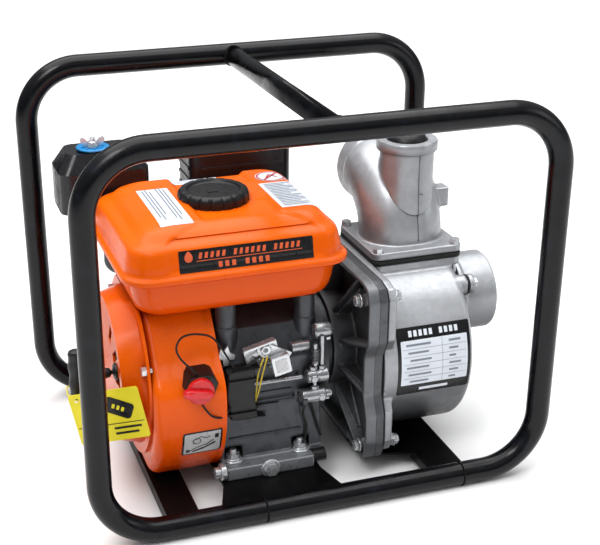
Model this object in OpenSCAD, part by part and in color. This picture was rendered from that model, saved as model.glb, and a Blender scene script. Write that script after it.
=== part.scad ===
// Engine-driven centrifugal water pump. A small horizontal-shaft petrol engine and a
// self-priming pump are bolted face to face and carried in a welded tube frame.
// +X runs along the crankshaft towards the pump, +Y to the back, +Z up. The origin is
// on the floor, under the centre of the frame. All sizes are in millimetres.

/* [Frame] */
// Outside length of the frame, along the crankshaft
frame_l = 510; // [508:1:516]
// Outside width of the frame, over both loops
frame_w = 370; // [368:1:376]
// Outside height of the frame
frame_h = 426; // [424:1:440]
// Outside diameter of the loop tube
tube_d = 25; // [24:0.5:26]
// Wall thickness of the frame tubes
tube_wall = 1.8; // [1.2:0.1:2.5]
// Bend radius of the loop tube, at its centreline
bend_r = 62; // [55:1:70]
// Outside diameter of the lifting tube between the loop tops
lift_d = 22; // [20:0.5:24]

/* [Engine] */
// Place of the crankshaft axis, front to back
crank_y = -27; // [-28:0.5:-26]
// Height of the crankshaft axis over the floor
crank_z = 131; // [130.5:0.5:131.5]
// Cylinder bore
bore_d = 62; // [60:1:63]
// Piston stroke
stroke = 46; // [44:1:47]
// Slope of the cylinder above the horizontal, in degrees
cyl_tilt = 25; // [24:0.5:26]
// Radius of the flywheel
flywheel_r = 72; // [68:1:73]
// Teeth on the crankshaft timing gear; the camshaft gear has twice as many
crank_teeth = 18; // [16:2:20]
// Centre distance of the timing gears
gear_gap = 48; // [47.5:0.5:48.5]

/* [Fuel tank] */
// Length of the tank seam flange
tank_l = 239; // [230:1:242]
// Width of the tank seam flange
tank_w = 214; // [200:1:216]
// Height of the seam above the floor
seam_z = 261; // [259:1:263]
// Height of the tank's top above the floor
tank_top = 302; // [298:1:304]
// Diameter of the fuel cap
cap_d = 76; // [70:1:80]

/* [Pump] */
// Outside radius of the pump barrel
barrel_r = 100; // [98:1:101]
// Bore of the suction and discharge ports
port_d = 76; // [74:1:78]
// Outside diameter of the hose ends
hose_d = 90; // [88:1:92]
// Radius of the impeller
impeller_r = 66; // [60:1:68]
// Number of impeller vanes
vane_count = 5; // [3:1:7]
// Radial running clearance of shafts in their bearings
run_gap = 0.05; // [0.02:0.01:0.08]

/* [Hidden] */
$fn = 48;

// Colours
gloss_black = [0.05, 0.05, 0.06];
orange = [0.92, 0.34, 0.08];
cast_grey = [0.66, 0.67, 0.69];
dark_cast = [0.25, 0.26, 0.28];
zinc = [0.75, 0.77, 0.78];
rubber_black = [0.08, 0.08, 0.08];

// Frame layout
loop_y = (frame_w - tube_d) / 2;
loop_x = (frame_l - tube_d) / 2;
low_z = tube_d / 2;
high_z = frame_h - tube_d / 2;
lift_x = 3;
lift_z = high_z - 1;
base_z = 25;

// Engine layout along X, from the starter to the pump
recoil_x = -202;
shroud_x0 = -175;
shroud_x1 = -100;
case_x0 = -100;
case_x1 = 14;
wall = 12;
cover_x = 24;
pto_x = 38;
cyl_x = -40;
journal_r = 12.5 - run_gap;
pto_r = 10;
web_r = 30;
pin_r = 8;
web_gap = 10;
web_t = 16;
gear_x0 = -12;
gear_x1 = -2;

// Cylinder layout: distances from the crankshaft axis along the cylinder
throw_r = stroke / 2;
rod_l = 72;
top_pin = throw_r + rod_l;
crown_h = 22;
skirt_h = 10;
deck = top_pin + crown_h + 1;
head_h = 32;
rocker_h = 40;
cyl_dir_y = cos(cyl_tilt);
cyl_dir_z = sin(cyl_tilt);
cam_y = crank_y + gear_gap * sin(cyl_tilt);
cam_z = crank_z - gear_gap * cos(cyl_tilt);
valve_x = 15;

// Foot bolts
foot_x = [-86, -10];
foot_y = [-108, 54];
foot_top = 39;

// Tank layout
tank_cx = -77.5;
tank_cy = -21;
cap_x = -76;
cap_y = -16;
tank_floor = 215;
mount_x = [-86, 1];
mount_y = -88;
mount_z = 190;
flange_t = 3;

// Pump layout along X
plate_x0 = 66;
plate_x1 = 76;
casing_x0 = 78;
casing_x1 = 88;
barrel_x1 = 184;
barrel_wall = 6;
barrel_y = -32;
barrel_z = 121.5;
plate_y = -32;
pad_x = 71;
pad_y = [-90, 26];
bolt_top = [80, 207];
bolt_low = [89, 38];
suction_y = -29;
suction_z = 163;
suction_x0 = 192;
ear_y = 53;
ear_z = 32;
suction_x1 = 240;
flap_r = 38.8;
elbow_x = 141;
elbow_y = -17;
elbow_z = 229;
elbow_t = 9;
gasket_z = 224;
elbow_h = 53;
elbow_bolt = 46;
duct_x = 46;
duct_y = 39;
bend_c = 59;
outlet_z = elbow_z + elbow_t + bend_c;
outlet_y = 66;
neck_y = -20;
neck_x = 144;
neck_top = 350;

// Switch on the shroud, and the small controls on the front of the crankcase
switch_x = -130;
switch_z = 148;
lever_x = -52;
lever_z = 168;
control_y = -112;
governor_x = -12;
governor_y = -115;
governor_z = 103;
dip_y = -118;
dip_z = 33;

// Starter rope and its grip
rope_y = -80;
rope_z = 150;
grip_x = -243;

// Air cleaner, carburettor and exhaust at the back
ac_x = [-222, -120];
ac_y = [84, 150];
ac_z = [266, 332];
ac_split = 290;
nut_x = -179;
nut_y = 112;
carb_y = 104;
carb_z = 200;
port_y = crank_y + (deck + 16) * cyl_dir_y;
port_z = crank_z + (deck + 16) * cyl_dir_z;
muffler_z = 246;
pipe_x = 30;

// Pivots of the two levers on the carburettor: X and Z
choke_at = [-130, 196];
fuel_at = [-112, 182];

// Ribs of the pump adapter: direction round the shaft and length
adapter_ribs = [[15, 88], [56, 104], [130, 108], [165, 98], [195, 98], [230, 112], [310, 108], [345, 88]];

// Centre lines of the thin leads, the fuel hose and the tie of the tag
switch_lead_high = [[-126, -134, 164.5], [-130, -136, 170], [-138, -131, 177], [-143, -122, 183],
    [-140, -115, 187], [-130, -112, 188], [-118, -114, 184], [-108, -122, 175], [-99, -125, 166],
    [-94.5, -122, 154], [-92, -118.5, 148], [-89, -117, 147]];
switch_lead_low = [[-126, -139.5, 131.5], [-125, -143, 125], [-116, -145, 115], [-107, -144, 109],
    [-96.5, -141, 106], [-94, -127, 106], [-92, -118, 106], [-89, -117, 106]];
ignition_lead = [[-40, 124, 121], [-41, 129, 112], [-48, 133, 103], [-62, 135, 98], [-80, 133, 97],
    [-98, 127, 98], [-114, 117, 101], [-127, 105, 106], [-136, 93, 112]];
fuel_hose_path = [[-121, 30, 214.5], [-121, 30.5, 209], [-121, 36, 206.5], [-121, 48, 203],
    [-121, 60, 198.5], [-121, 72, 193], [-121, 78, 191], [-121, 83.6, 191]];
tag_tie = [[-247, -102, 133.5], [-250, -97, 134], [-255, -88, 136], [-254, -76, 138], [-243, -69, 139],
    [-232, -76, 138], [-233, -88, 136], [-242, -97, 134], [-246, -102, 133.5]];

// ---------------------------------------------------------------- shape helpers

module block(x, y, z) {
    translate([x[0], y[0], z[0]]) cube([x[1] - x[0], y[1] - y[0], z[1] - z[0]]);
}

module xcyl(x0, x1, r, y = crank_y, z = crank_z) {
    translate([x0, y, z]) rotate([0, 90, 0]) cylinder(h = x1 - x0, r = r);
}

module ycyl(y0, y1, r, x, z) {
    translate([x, y0, z]) rotate([-90, 0, 0]) cylinder(h = y1 - y0, r = r);
}

module zcyl(z0, z1, r, x, y) {
    translate([x, y, z0]) cylinder(h = z1 - z0, r = r);
}

// Hexagon bar of key width across, along X or Z
module xhex(x0, x1, across, y, z) {
    translate([x0, y, z]) rotate([0, 90, 0]) cylinder(h = x1 - x0, r = across / sqrt(3), $fn = 6);
}

module zhex(z0, z1, across, x, y) {
    translate([x, y, z0]) cylinder(h = z1 - z0, r = across / sqrt(3), $fn = 6);
}

// Flat outlines drawn in Y and Z and thickened along X
module xslab(x0, x1) {
    translate([x0, 0, 0]) rotate([90, 0, 90]) linear_extrude(x1 - x0) children();
}

// Flat outlines drawn in X and Z and thickened along Y
module yslab(y0, y1) {
    translate([0, y1, 0]) rotate([90, 0, 0]) linear_extrude(y1 - y0) children();
}

module zslab(z0, z1) {
    translate([0, 0, z0]) linear_extrude(z1 - z0) children();
}

// Rectangle with round corners
module rounded(a, b, r) {
    translate([a[0] + r, b[0]]) square([a[1] - a[0] - 2 * r, b[1] - b[0]]);
    translate([a[0], b[0] + r]) square([a[1] - a[0], b[1] - b[0] - 2 * r]);
    for (u = [a[0] + r, a[1] - r], v = [b[0] + r, b[1] - r]) translate([u, v]) circle(r);
}

// Local frame of the cylinder: Z along the bore, X along the crankshaft
module along_bore(s = 0) {
    translate([cyl_x, crank_y + s * cyl_dir_y, crank_z + s * cyl_dir_z])
        rotate([cyl_tilt - 90, 0, 0]) children();
}

// Gear outline with straight-sided teeth
function tooth_point(i, n, r, k) =
    let (pitch = 360 / n, half = [0.27, 0.16, -0.16, -0.27][k], out = [-1.9, 1.4, 1.4, -1.9][k])
    [(r + out) * cos((i + half) * pitch), (r + out) * sin((i + half) * pitch)];
module gear_outline(n, r) {
    polygon([for (i = [n - 1:-1:0], k = [0:3]) tooth_point(i, n, r, k)]);
}

// Round cord along a list of points
function unit(v) = v / norm(v);
function heading(p, i) = unit(p[min(i + 1, len(p) - 1)] - p[max(i - 1, 0)]);
function side_of(d) = unit(cross(d, abs(d.z) > 0.9 ? [1, 0, 0] : [0, 0, 1]));
function ring_at(p, i, r, n) =
    let (d = heading(p, i), a = side_of(d), b = cross(d, a))
    [for (k = [0:n - 1]) p[i] + r * (cos(k * 360 / n) * a + sin(k * 360 / n) * b)];
module cord(p, r, n = 8) {
    m = len(p);
    polyhedron(
        points = [for (i = [0:m - 1]) each ring_at(p, i, r, n)],
        faces = concat([[for (k = [0:n - 1]) k]],
            [for (i = [0:m - 2], k = [0:n - 1])
                [i * n + k, (i + 1) * n + k, (i + 1) * n + (k + 1) % n, i * n + (k + 1) % n]],
            [[for (k = [n - 1:-1:0]) (m - 1) * n + k]]));
}

// ---------------------------------------------------------------- frame

// Closed loop of tube with four round bends
module loop(y, d) {
    for (z = [low_z, high_z]) xcyl(bend_r - loop_x, loop_x - bend_r, d / 2, y, z);
    for (x = [-loop_x, loop_x]) zcyl(low_z + bend_r, high_z - bend_r, d / 2, x, y);
    for (turn = [0:3]) {
        sx = turn == 0 || turn == 3 ? 1 : -1;
        zc = turn < 2 ? high_z - bend_r : low_z + bend_r;
        translate([sx * (loop_x - bend_r), y, zc]) rotate([90, 0, 0]) rotate([0, 0, turn * 90])
            rotate_extrude(angle = 90) translate([bend_r, 0]) circle(d / 2);
    }
}

module loop_tube(y) {
    color(gloss_black) difference() {
        loop(y, tube_d);
        loop(y, tube_d - 2 * tube_wall);
    }
}

module frame_loop_front() { loop_tube(-loop_y); }
module frame_loop_rear() { loop_tube(loop_y); }

module bottom_tubes() {
    for (y = [-loop_y, loop_y]) xcyl(-230, 230, tube_d / 2, y, low_z);
}

module lifting_tube() {
    color(gloss_black) difference() {
        ycyl(-loop_y, loop_y, lift_d / 2, lift_x, lift_z);
        ycyl(-frame_w, frame_w, lift_d / 2 - tube_wall, lift_x, lift_z);
        for (y = [-loop_y, loop_y]) xcyl(-40, 60, tube_d / 2, y, high_z);
    }
}

// Folded channel across the frame, open below
module channel(x0, x1, top, depth) {
    difference() {
        yslab(-loop_y, loop_y) translate([x0, top - depth]) square([x1 - x0, depth]);
        yslab(-frame_w, frame_w) translate([x0 + 3, top - depth - 1]) square([x1 - x0 - 6, depth - 2]);
        bottom_tubes();
    }
}

module cross_plate_left() {
    color(gloss_black) channel(-174, -140, 21, 14);
}

module cross_plate_right() {
    color(gloss_black) difference() {
        union() {
            channel(120, 161, 19, 12);
            zslab(16, 19) polygon([[121, -130], [60, -104], [60, 40], [121, 66]]);
        }
        for (y = pad_y) zcyl(0, 30, 3.5, pad_x, y);
    }
}

module engine_base_plate() {
    color(gloss_black) difference() {
        zslab(21, base_z) polygon([[-118, -loop_y], [16, -loop_y], [6, -132], [6, 132],
            [16, loop_y], [-118, loop_y], [-104, 132], [-104, -132]]);
        bottom_tubes();
        for (x = foot_x, y = foot_y) zcyl(10, 30, 4.5, x, y);
    }
}

// ---------------------------------------------------------------- engine block

module crankcase_outline() {
    polygon([[-112, foot_top - 1], [-106, 96], [-106, 150], [-88, 183], [-50, 200],
        [0, 200], [30, 190], [58, 120], [58, foot_top - 1]]);
}

// Space for the crankshaft and the camshaft
module crank_space(x0, x1) {
    xcyl(x0, x1, 60);
    xcyl(x0, x1, 40, cam_y, cam_z);
}

module cooling_fin(s, up, down, half = 50) {
    along_bore(s) linear_extrude(3) rounded([-half, half], [-up, down], 8);
}

module cover_screws() {
    for (a = [30:60:330]) translate([0, crank_y + 72 * cos(a), 125 + 72 * sin(a)]) children();
}

module crankcase() {
    color(dark_cast) difference() {
        union() {
            xslab(case_x0, case_x1) crankcase_outline();
            zslab(base_z, foot_top) rounded([-98, 0], [-128, 66], 5);
            along_bore(30) cylinder(h = deck - 30, r = 43);
            for (s = [68:10:108]) cooling_fin(s, 38, 48);
            for (x = mount_x) zcyl(150, mount_z, 12, x, mount_y);
            for (rib = [[-57, -15, 127], [-60, -18, 103], [-84, -50, 88]])
                block([rib[0], rib[1]], [-110, -100], [rib[2], rib[2] + 3]);
            block([governor_x, governor_x + 6], [governor_y - 3, -100], [governor_z - 6, governor_z + 6]);
            xcyl(governor_x, governor_x + 6, 9, governor_y, governor_z);
        }
        crank_space(case_x0 + wall, case_x1 + 1);
        along_bore() cylinder(h = deck + 1, r = bore_d / 2);
        xcyl(case_x0 - 6, case_x0 + wall + 1, 26);
        xcyl(case_x0 + 5, case_x0 + wall + 1, 7, cam_y, cam_z);
        for (x = foot_x, y = foot_y) {
            zcyl(20, 45, 4.5, x, y);
            zcyl(foot_top, foot_top + 16, 10, x, y);
        }
        xcyl(-51, 1, 5, dip_y, dip_z);
        cover_screws() xcyl(case_x1 - 11, case_x1 + 1, 3, 0, 0);
        xcyl(governor_x - 1, governor_x + 7, 6 + run_gap, governor_y, governor_z);
        // Room under the floor of the tank
        block([case_x0, case_x1], [-100, 90], [tank_floor - 1.5, tank_floor + 20]);
    }
}

module crankcase_cover() {
    color(dark_cast) difference() {
        union() {
            xcyl(case_x1, cover_x, 78, crank_y, 125);
            xcyl(cover_x, pto_x, 52);
        }
        xcyl(case_x1 - 1, case_x1 + 18, 26);
        xcyl(case_x1, pto_x + 1, 17.5);
        xcyl(case_x1 - 1, case_x1 + 6, 7, cam_y, cam_z);
        adapter_screws() xcyl(pto_x - 14, pto_x + 1, 3.05, 0, 0);
        cover_screws() xcyl(case_x1 - 1, cover_x + 1, 3, 0, 0);
    }
}

module adapter_screws() {
    for (a = [45:90:315]) translate([0, crank_y + 44 * cos(a), crank_z + 44 * sin(a)]) children();
}

module cylinder_head() {
    color(cast_grey) difference() {
        union() {
            along_bore(deck + 1) linear_extrude(head_h - 1) rounded([-46, 46], [-34, 40], 8);
            for (s = [deck + 6:9:deck + 26]) cooling_fin(s, 38, 46, 46);
        }
        along_bore(deck) cylinder(h = 9, r = bore_d / 2 - 1);
        for (x = [-valve_x, valve_x]) along_bore(deck) translate([x, 0, 0]) {
            cylinder(h = head_h + 1, r = 3);
            cylinder(h = 22, r = 9);
        }
        for (side = [-1, 1]) along_bore(deck + 16) translate([side * valve_x, 0, 0])
            rotate([0, side * 90, 0]) cylinder(h = 60, r = 9);
        along_bore(deck + 15) rotate([-90, 0, 0]) cylinder(h = 60, r = 7);
    }
}

// Flat gaskets: cylinder head, pump joint, discharge elbow and suction flange
module gaskets() {
    color(rubber_black) {
        difference() {
            along_bore(deck) linear_extrude(1) rounded([-44, 44], [-34, 40], 8);
            along_bore(deck - 1) cylinder(h = 3, r = bore_d / 2);
        }
        difference() {
            xslab(plate_x1, casing_x0) plate_outline(2);
            xcyl(plate_x1 - 1, casing_x0 + 1, 90, barrel_y, barrel_z);
            at_casing_bolts() xcyl(plate_x1 - 1, casing_x0 + 1, 4.5, 0, 0);
        }
        difference() {
            zslab(gasket_z, elbow_z) rounded([elbow_x - elbow_h, elbow_x + elbow_h],
                [elbow_y - elbow_h, elbow_y + elbow_h], 9);
            zcyl(gasket_z - 1, elbow_z + 1, port_d / 2 - 2, elbow_x, elbow_y);
            at_elbow_bolts() zcyl(gasket_z - 1, elbow_z + 1, 3.5, 0, 0);
        }
        difference() {
            xslab(suction_x0, suction_x0 + 2) suction_outline();
            xcyl(suction_x0 - 1, suction_x0 + 3, 42, suction_y, suction_z);
            at_suction_bolts() xcyl(suction_x0 - 1, suction_x0 + 3, 3.3, 0, 0);
        }
    }
}

module rocker_cover() {
    color(gloss_black) difference() {
        union() {
            along_bore(deck + head_h) linear_extrude(3) rounded([-38, 38], [-32, 32], 10);
            along_bore(deck + head_h) linear_extrude(rocker_h) rounded([-33, 33], [-27, 27], 12);
        }
        along_bore(deck + head_h - 1) linear_extrude(rocker_h - 1) rounded([-31, 31], [-25, 25], 10);
    }
}

module main_bearings() {
    color(zinc) for (x = [case_x0, case_x1 + 3]) difference() {
        xcyl(x, x + 15 - (x == case_x0 ? 3 : 0), 26);
        xcyl(x - 1, x + 16, 12.5);
    }
}

module oil_seals() {
    color(rubber_black) for (x = [case_x0 - 5, pto_x - 6]) difference() {
        xcyl(x, x + 5, x < 0 ? 26 : 17.5);
        xcyl(x - 1, x + 6, 12.6);
    }
}

// ---------------------------------------------------------------- moving engine parts

// One crank web, from the pin to the counterweight
module web(x0) {
    xslab(x0, x0 + web_t) translate([crank_y, crank_z]) rotate(cyl_tilt) {
        circle(web_r - 6);
        translate([4 - web_r, -16]) square([web_r, 32]);
        translate([0, -9]) square([throw_r, 18]);
        translate([throw_r, 0]) circle(9);
    }
}

// Two halves whose webs face each other across the crank pin, with the timing gear
module crankshaft() {
    color(zinc) {
        web(cyl_x - web_gap - web_t);
        xcyl(-132, cyl_x - web_gap - web_t, journal_r);
        xcyl(-152, -132, 10);
        xcyl(-160, -152, 7);
        web(cyl_x + web_gap);
        xcyl(cyl_x + web_gap + web_t, pto_x, journal_r);
        xcyl(pto_x, 104, pto_r);
        xslab(gear_x0, gear_x1) translate([crank_y, crank_z]) rotate(cyl_tilt - 90)
            gear_outline(crank_teeth, gear_gap / 3);
    }
}

module cam_lobe(x, a) {
    xslab(x, x + 6) translate([cam_y, cam_z]) rotate(a) {
        circle(9);
        translate([6, 0]) circle(6);
    }
}

module camshaft() {
    color(zinc) {
        xcyl(case_x0 + 6, case_x1 + 5, 7 - run_gap, cam_y, cam_z);
        xslab(gear_x0, gear_x1) translate([cam_y, cam_z])
            rotate(cyl_tilt + 90 + 90 / crank_teeth) gear_outline(2 * crank_teeth, gear_gap * 2 / 3);
        cam_lobe(-48, 200);
        cam_lobe(-38, 310);
    }
}

module crank_pin() {
    color(zinc) along_bore(throw_r) rotate([0, 90, 0]) translate([0, 0, -9.5]) cylinder(h = 19, r = pin_r);
}

module connecting_rod() {
    color(cast_grey) difference() {
        union() {
            along_bore(throw_r) rotate([0, 90, 0]) translate([0, 0, -9]) cylinder(h = 18, r = 14);
            along_bore(top_pin) rotate([0, 90, 0]) translate([0, 0, -9]) cylinder(h = 18, r = 13);
            along_bore(throw_r + 10) translate([-4, -8, 0]) cube([8, 16, rod_l - 18]);
        }
        along_bore(throw_r) rotate([0, 90, 0]) translate([0, 0, -10]) cylinder(h = 20, r = pin_r + run_gap);
        along_bore(top_pin) rotate([0, 90, 0]) translate([0, 0, -10]) cylinder(h = 20, r = 8 + run_gap);
    }
}

module piston() {
    color(cast_grey) difference() {
        along_bore(top_pin - skirt_h) cylinder(h = skirt_h + crown_h, r = bore_d / 2 - run_gap);
        along_bore(top_pin - skirt_h - 1) linear_extrude(skirt_h + 16) difference() {
            circle(26);
            for (x = [-30, 10]) translate([x, -30]) square([20, 60]);
        }
        along_bore(top_pin) rotate([0, 90, 0]) translate([0, 0, -40]) cylinder(h = 80, r = 8);
        for (s = [6, 11, 16]) along_bore(top_pin + crown_h - s) difference() {
            cylinder(h = 2, r = bore_d / 2 + 1);
            translate([0, 0, -1]) cylinder(h = 4, r = bore_d / 2 - 2);
        }
    }
}

module wrist_pin() {
    color(zinc) along_bore(top_pin) rotate([0, 90, 0]) translate([0, 0, -28])
        difference() {
            cylinder(h = 56, r = 8);
            translate([0, 0, -1]) cylinder(h = 58, r = 5);
        }
}

// Poppet valve: head against its seat at the roof of the chamber, stem through the guide
module valve(x) {
    color(zinc) along_bore(deck + 6) translate([x, 0, 0]) {
        cylinder(h = 2.8, r = 12);
        cylinder(h = 48, r = 3 - run_gap);
        translate([0, 0, 44]) cylinder(h = 3, r = 9);
    }
}
module intake_valve() { valve(-valve_x); }
module exhaust_valve() { valve(valve_x); }

module flywheel() {
    color(dark_cast) difference() {
        union() {
            xcyl(-150, -144, flywheel_r);
            xcyl(-150, -124, 20);
            difference() {
                xcyl(-150, -128, flywheel_r);
                xcyl(-145, -127, flywheel_r - 12);
            }
            for (a = [0:22.5:337.5]) translate([-166, crank_y, crank_z]) rotate([a, 0, 0])
                translate([0, 42, -1.2]) cube([17, flywheel_r - 44, 2.4]);
        }
        xcyl(-151, -132, 10);
        xcyl(-132, -123, 12.5);
    }
}

module starter_cup() {
    color(zinc) difference() {
        xcyl(-168, -150, 32);
        xcyl(-169, -152, 30);
        xcyl(-170, -149, 12);
    }
    color(zinc) difference() {
        xhex(-159, -152, 19, crank_y, crank_z);
        xcyl(-160, -150, 7);
    }
}

module ignition_coil() {
    color(rubber_black) difference() {
        block([-150, -124], [crank_y + flywheel_r - 2, 74], [118, 150]);
        xcyl(-151, -123, flywheel_r + 0.8);
    }
    color(zinc) for (y = [46, 48]) xcyl(-124, case_x0, 2, y, y == 46 ? 124 : 119);
}

// ---------------------------------------------------------------- shroud and starter

function shroud_arc(r) = [for (a = [168:8:232]) [-22 + r * cos(a), 118 + r * sin(a)]];

// Side view of the fan housing, drawn in by t
module shroud_outline(t = 0) {
    polygon(concat([[-110 + t * 0.8, 166 - t * 0.5], [-127 + t, 152]], shroud_arc(115 - t),
        [[-88, 26 + t], [58 - t, 26 + t], [84 - t, 60], [90 - t, 110], [86 - t, 150],
            [60 - t * 0.6, 190 - t * 0.6], [18, 211 - t], [-76 + t, 211 - t]]));
}

module fan_shroud() {
    color(orange) difference() {
        union() {
            xslab(shroud_x0 + 8, shroud_x1) shroud_outline();
            xslab(shroud_x0 + 3, shroud_x0 + 8) shroud_outline(3);
            xslab(shroud_x0, shroud_x0 + 3) shroud_outline(8);
        }
        xslab(shroud_x0 + 8, shroud_x1 - 3) shroud_outline(3);
        xslab(shroud_x0 + 3, shroud_x0 + 9) shroud_outline(6);
        xcyl(shroud_x0 - 1, shroud_x0 + 4, 84);
        xcyl(shroud_x1 - 4, shroud_x1 + 1, 80);
        recoil_screws() xcyl(shroud_x0 - 1, shroud_x0 + 4, 3, 0, 0);
    }
}

module recoil_screws() {
    for (a = [40, 160, 280]) translate([0, crank_y + 92.5 * cos(a), crank_z + 92.5 * sin(a)]) children();
}

module recoil_housing() {
    color(orange) {
        difference() {
            translate([0, crank_y, crank_z]) rotate([0, 90, 0]) rotate_extrude() polygon([
                [98, shroud_x0], [98, shroud_x0 - 3], [87, shroud_x0 - 3], [80, recoil_x], [0, recoil_x],
                [0, recoil_x + 3], [76, recoil_x + 3], [83, shroud_x0 - 5], [83, shroud_x0]]);
            block([recoil_x - 1, shroud_x0 + 1], [-130, 80], [tank_floor - 0.3, tank_floor + 20]);
            for (a = [30:25:305]) translate([0, crank_y, crank_z]) rotate([a, 0, 0])
                block([recoil_x - 1, recoil_x + 4], [-5, 5], [46, 70]);
            xcyl(recoil_x - 1, recoil_x + 4, 4, rope_y, rope_z);
            recoil_screws() xcyl(shroud_x0 - 4, shroud_x0 + 1, 3, 0, 0);
        }
        xcyl(recoil_x + 3, -182, 8);
    }
}

module recoil_reel() {
    color(gloss_black) translate([-195, crank_y, crank_z]) rotate([0, 90, 0]) rotate_extrude()
        polygon([[8 + run_gap, 0], [62, 0], [62, 2], [56, 4], [56, 8], [62, 10], [62, 12],
            [8 + run_gap, 12]]);
}

// Pull grip with the short end of rope that shows at rest
module starter_grip() {
    color(rubber_black) {
        xcyl(grip_x, -208, 7, rope_y, rope_z);
        xcyl(-208, -198, 2, rope_y, rope_z);
        zcyl(124, 182, 8.5, grip_x, rope_y);
    }
}

// Loop of thin tie from the tag's hole around the grip

module hang_tag() {
    color("gold") translate([-218, -113, 118]) rotate([0, 0, -24]) rotate([90, 0, 0]) rotate(12)
        translate([0, 0, -0.4]) linear_extrude(0.8) difference() {
            rounded([-37, 37], [-29, 29], 3);
            translate([-29, 22]) circle(2.5);
        }
    color(gloss_black) cord(tag_tie, 0.8);
}

// ---------------------------------------------------------------- tank

module tank_rect(inset, r) {
    rounded([tank_cx - tank_l / 2 + inset, tank_cx + tank_l / 2 - inset],
        [tank_cy - tank_w / 2 + inset, tank_cy + tank_w / 2 - inset], r);
}

module lower_body(t) {
    hull() {
        zslab(seam_z - 8, seam_z + t) tank_rect(10 + t, 28);
        zslab(tank_floor + 9, tank_floor + 11) tank_rect(14 + t, 26);
        zslab(tank_floor + t, tank_floor + t + 1) tank_rect(23 + t, 20);
    }
}

module upper_body(t) {
    hull() {
        zslab(seam_z + flange_t - t, seam_z + flange_t + 2) tank_rect(5 + t, 28);
        zslab(seam_z + 26 - t, seam_z + 28 - t) tank_rect(14 + t, 28);
        zslab(tank_top - 3 - t, tank_top - t) tank_rect(26 + t, 26);
    }
}

module fuel_tank_lower() {
    color(orange) difference() {
        union() {
            lower_body(0);
            zslab(seam_z, seam_z + flange_t / 2) tank_rect(0, 30);
        }
        lower_body(1.6);
    }
}

module fuel_tank_upper() {
    color(orange) difference() {
        union() {
            upper_body(0);
            zslab(seam_z + flange_t / 2, seam_z + flange_t) tank_rect(0, 30);
            zcyl(tank_top - 3, tank_top + 5, 24, cap_x, cap_y);
        }
        upper_body(1.6);
        zcyl(tank_top - 10, tank_top + 10, 21, cap_x, cap_y);
    }
}

module fuel_cap() {
    color(rubber_black) difference() {
        union() {
            zcyl(tank_top + 1, tank_top + 14, cap_d / 2 - 1.5, cap_x, cap_y);
            for (a = [0:15:345]) translate([cap_x, cap_y, 0]) rotate(a)
                zcyl(tank_top + 1, tank_top + 13, 2.6, cap_d / 2 - 2.6, 0);
            zcyl(tank_top - 6, tank_top + 2, 18, cap_x, cap_y);
        }
        difference() {
            zcyl(tank_top, tank_top + 9, 28, cap_x, cap_y);
            zcyl(tank_top - 1, tank_top + 10, 18, cap_x, cap_y);
        }
    }
}

module rubber_mounts() {
    color(rubber_black) for (x = mount_x) difference() {
        zcyl(mount_z, tank_floor, 11, x, mount_y);
        zcyl(mount_z - 1, tank_floor + 1, 4, x, mount_y);
    }
    color(rubber_black) for (x = [-80, 0]) difference() {
        zcyl(195, tank_floor, 9, x, -10);
        xslab(case_x0 - 1, case_x1 + 1) crankcase_outline();
        xcyl(case_x1, cover_x, 78, crank_y, 125);
    }
    color(rubber_black) for (y = pad_y) difference() {
        zcyl(19, 25, 9, pad_x, y);
        zcyl(18, 26, 3.5, pad_x, y);
    }
}

// ---------------------------------------------------------------- intake and exhaust

module air_cleaner_case() {
    color(gloss_black) difference() {
        union() {
            zslab(ac_z[0], ac_split) rounded(ac_x, ac_y, 12);
            zcyl(carb_z, ac_z[0] + 1, 17, -158, carb_y);
            xcyl(-158, -140, 17, carb_y, carb_z);
            translate([-158, carb_y, carb_z]) sphere(17);
        }
        zslab(ac_z[0] + 3, ac_split + 1) rounded([ac_x[0] + 3, ac_x[1] - 3], [ac_y[0] + 3, ac_y[1] - 3], 9);
        zcyl(carb_z, ac_z[0] + 4, 12, -158, carb_y);
        xcyl(-158, -139, 12, carb_y, carb_z);
        translate([-158, carb_y, carb_z]) sphere(12);
    }
    color(zinc) zcyl(ac_z[0] + 3, ac_z[1] + 13, 3, nut_x, nut_y);
}

module cover_shape(t) {
    hull() {
        zslab(ac_split - t, 312 - t)
            rounded([ac_x[0] + t, ac_x[1] - t], [ac_y[0] + t, ac_y[1] - t], 12 - t);
        zslab(ac_z[1] - 1 - t, ac_z[1] - t)
            rounded([ac_x[0] + 12 + t, ac_x[1] - 14 - t], [ac_y[0] + 10 + t, ac_y[1] - 10 - t], 12 - t);
    }
}

module air_cleaner_cover() {
    color(gloss_black) difference() {
        cover_shape(0);
        cover_shape(3);
        zcyl(280, 340, 3.3, nut_x, nut_y);
    }
}

module air_filter() {
    color("dimgray") difference() {
        zslab(ac_z[0] + 4, 316) rounded([-208, -138], [94, 140], 16);
        zslab(ac_z[0] + 3, 317) rounded([-194, -152], [105, 129], 11);
    }
}

// Nut with two wings over a sealing washer
module wing_nut() {
    color(zinc) difference() {
        union() {
            zcyl(ac_z[1], ac_z[1] + 2, 15, nut_x, nut_y);
            zcyl(ac_z[1] + 2, ac_z[1] + 9, 6.5, nut_x, nut_y);
            yslab(nut_y - 1.2, nut_y + 1.2) translate([nut_x, ac_z[1] + 2])
                polygon([[-13, 3], [-13, 11], [-7, 12], [-4, 7], [4, 7], [7, 12], [13, 11], [13, 3],
                    [6, 0], [-6, 0]]);
        }
        zcyl(ac_z[1] - 1, ac_z[1] + 20, 3 + run_gap, nut_x, nut_y);
    }
}

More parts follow.
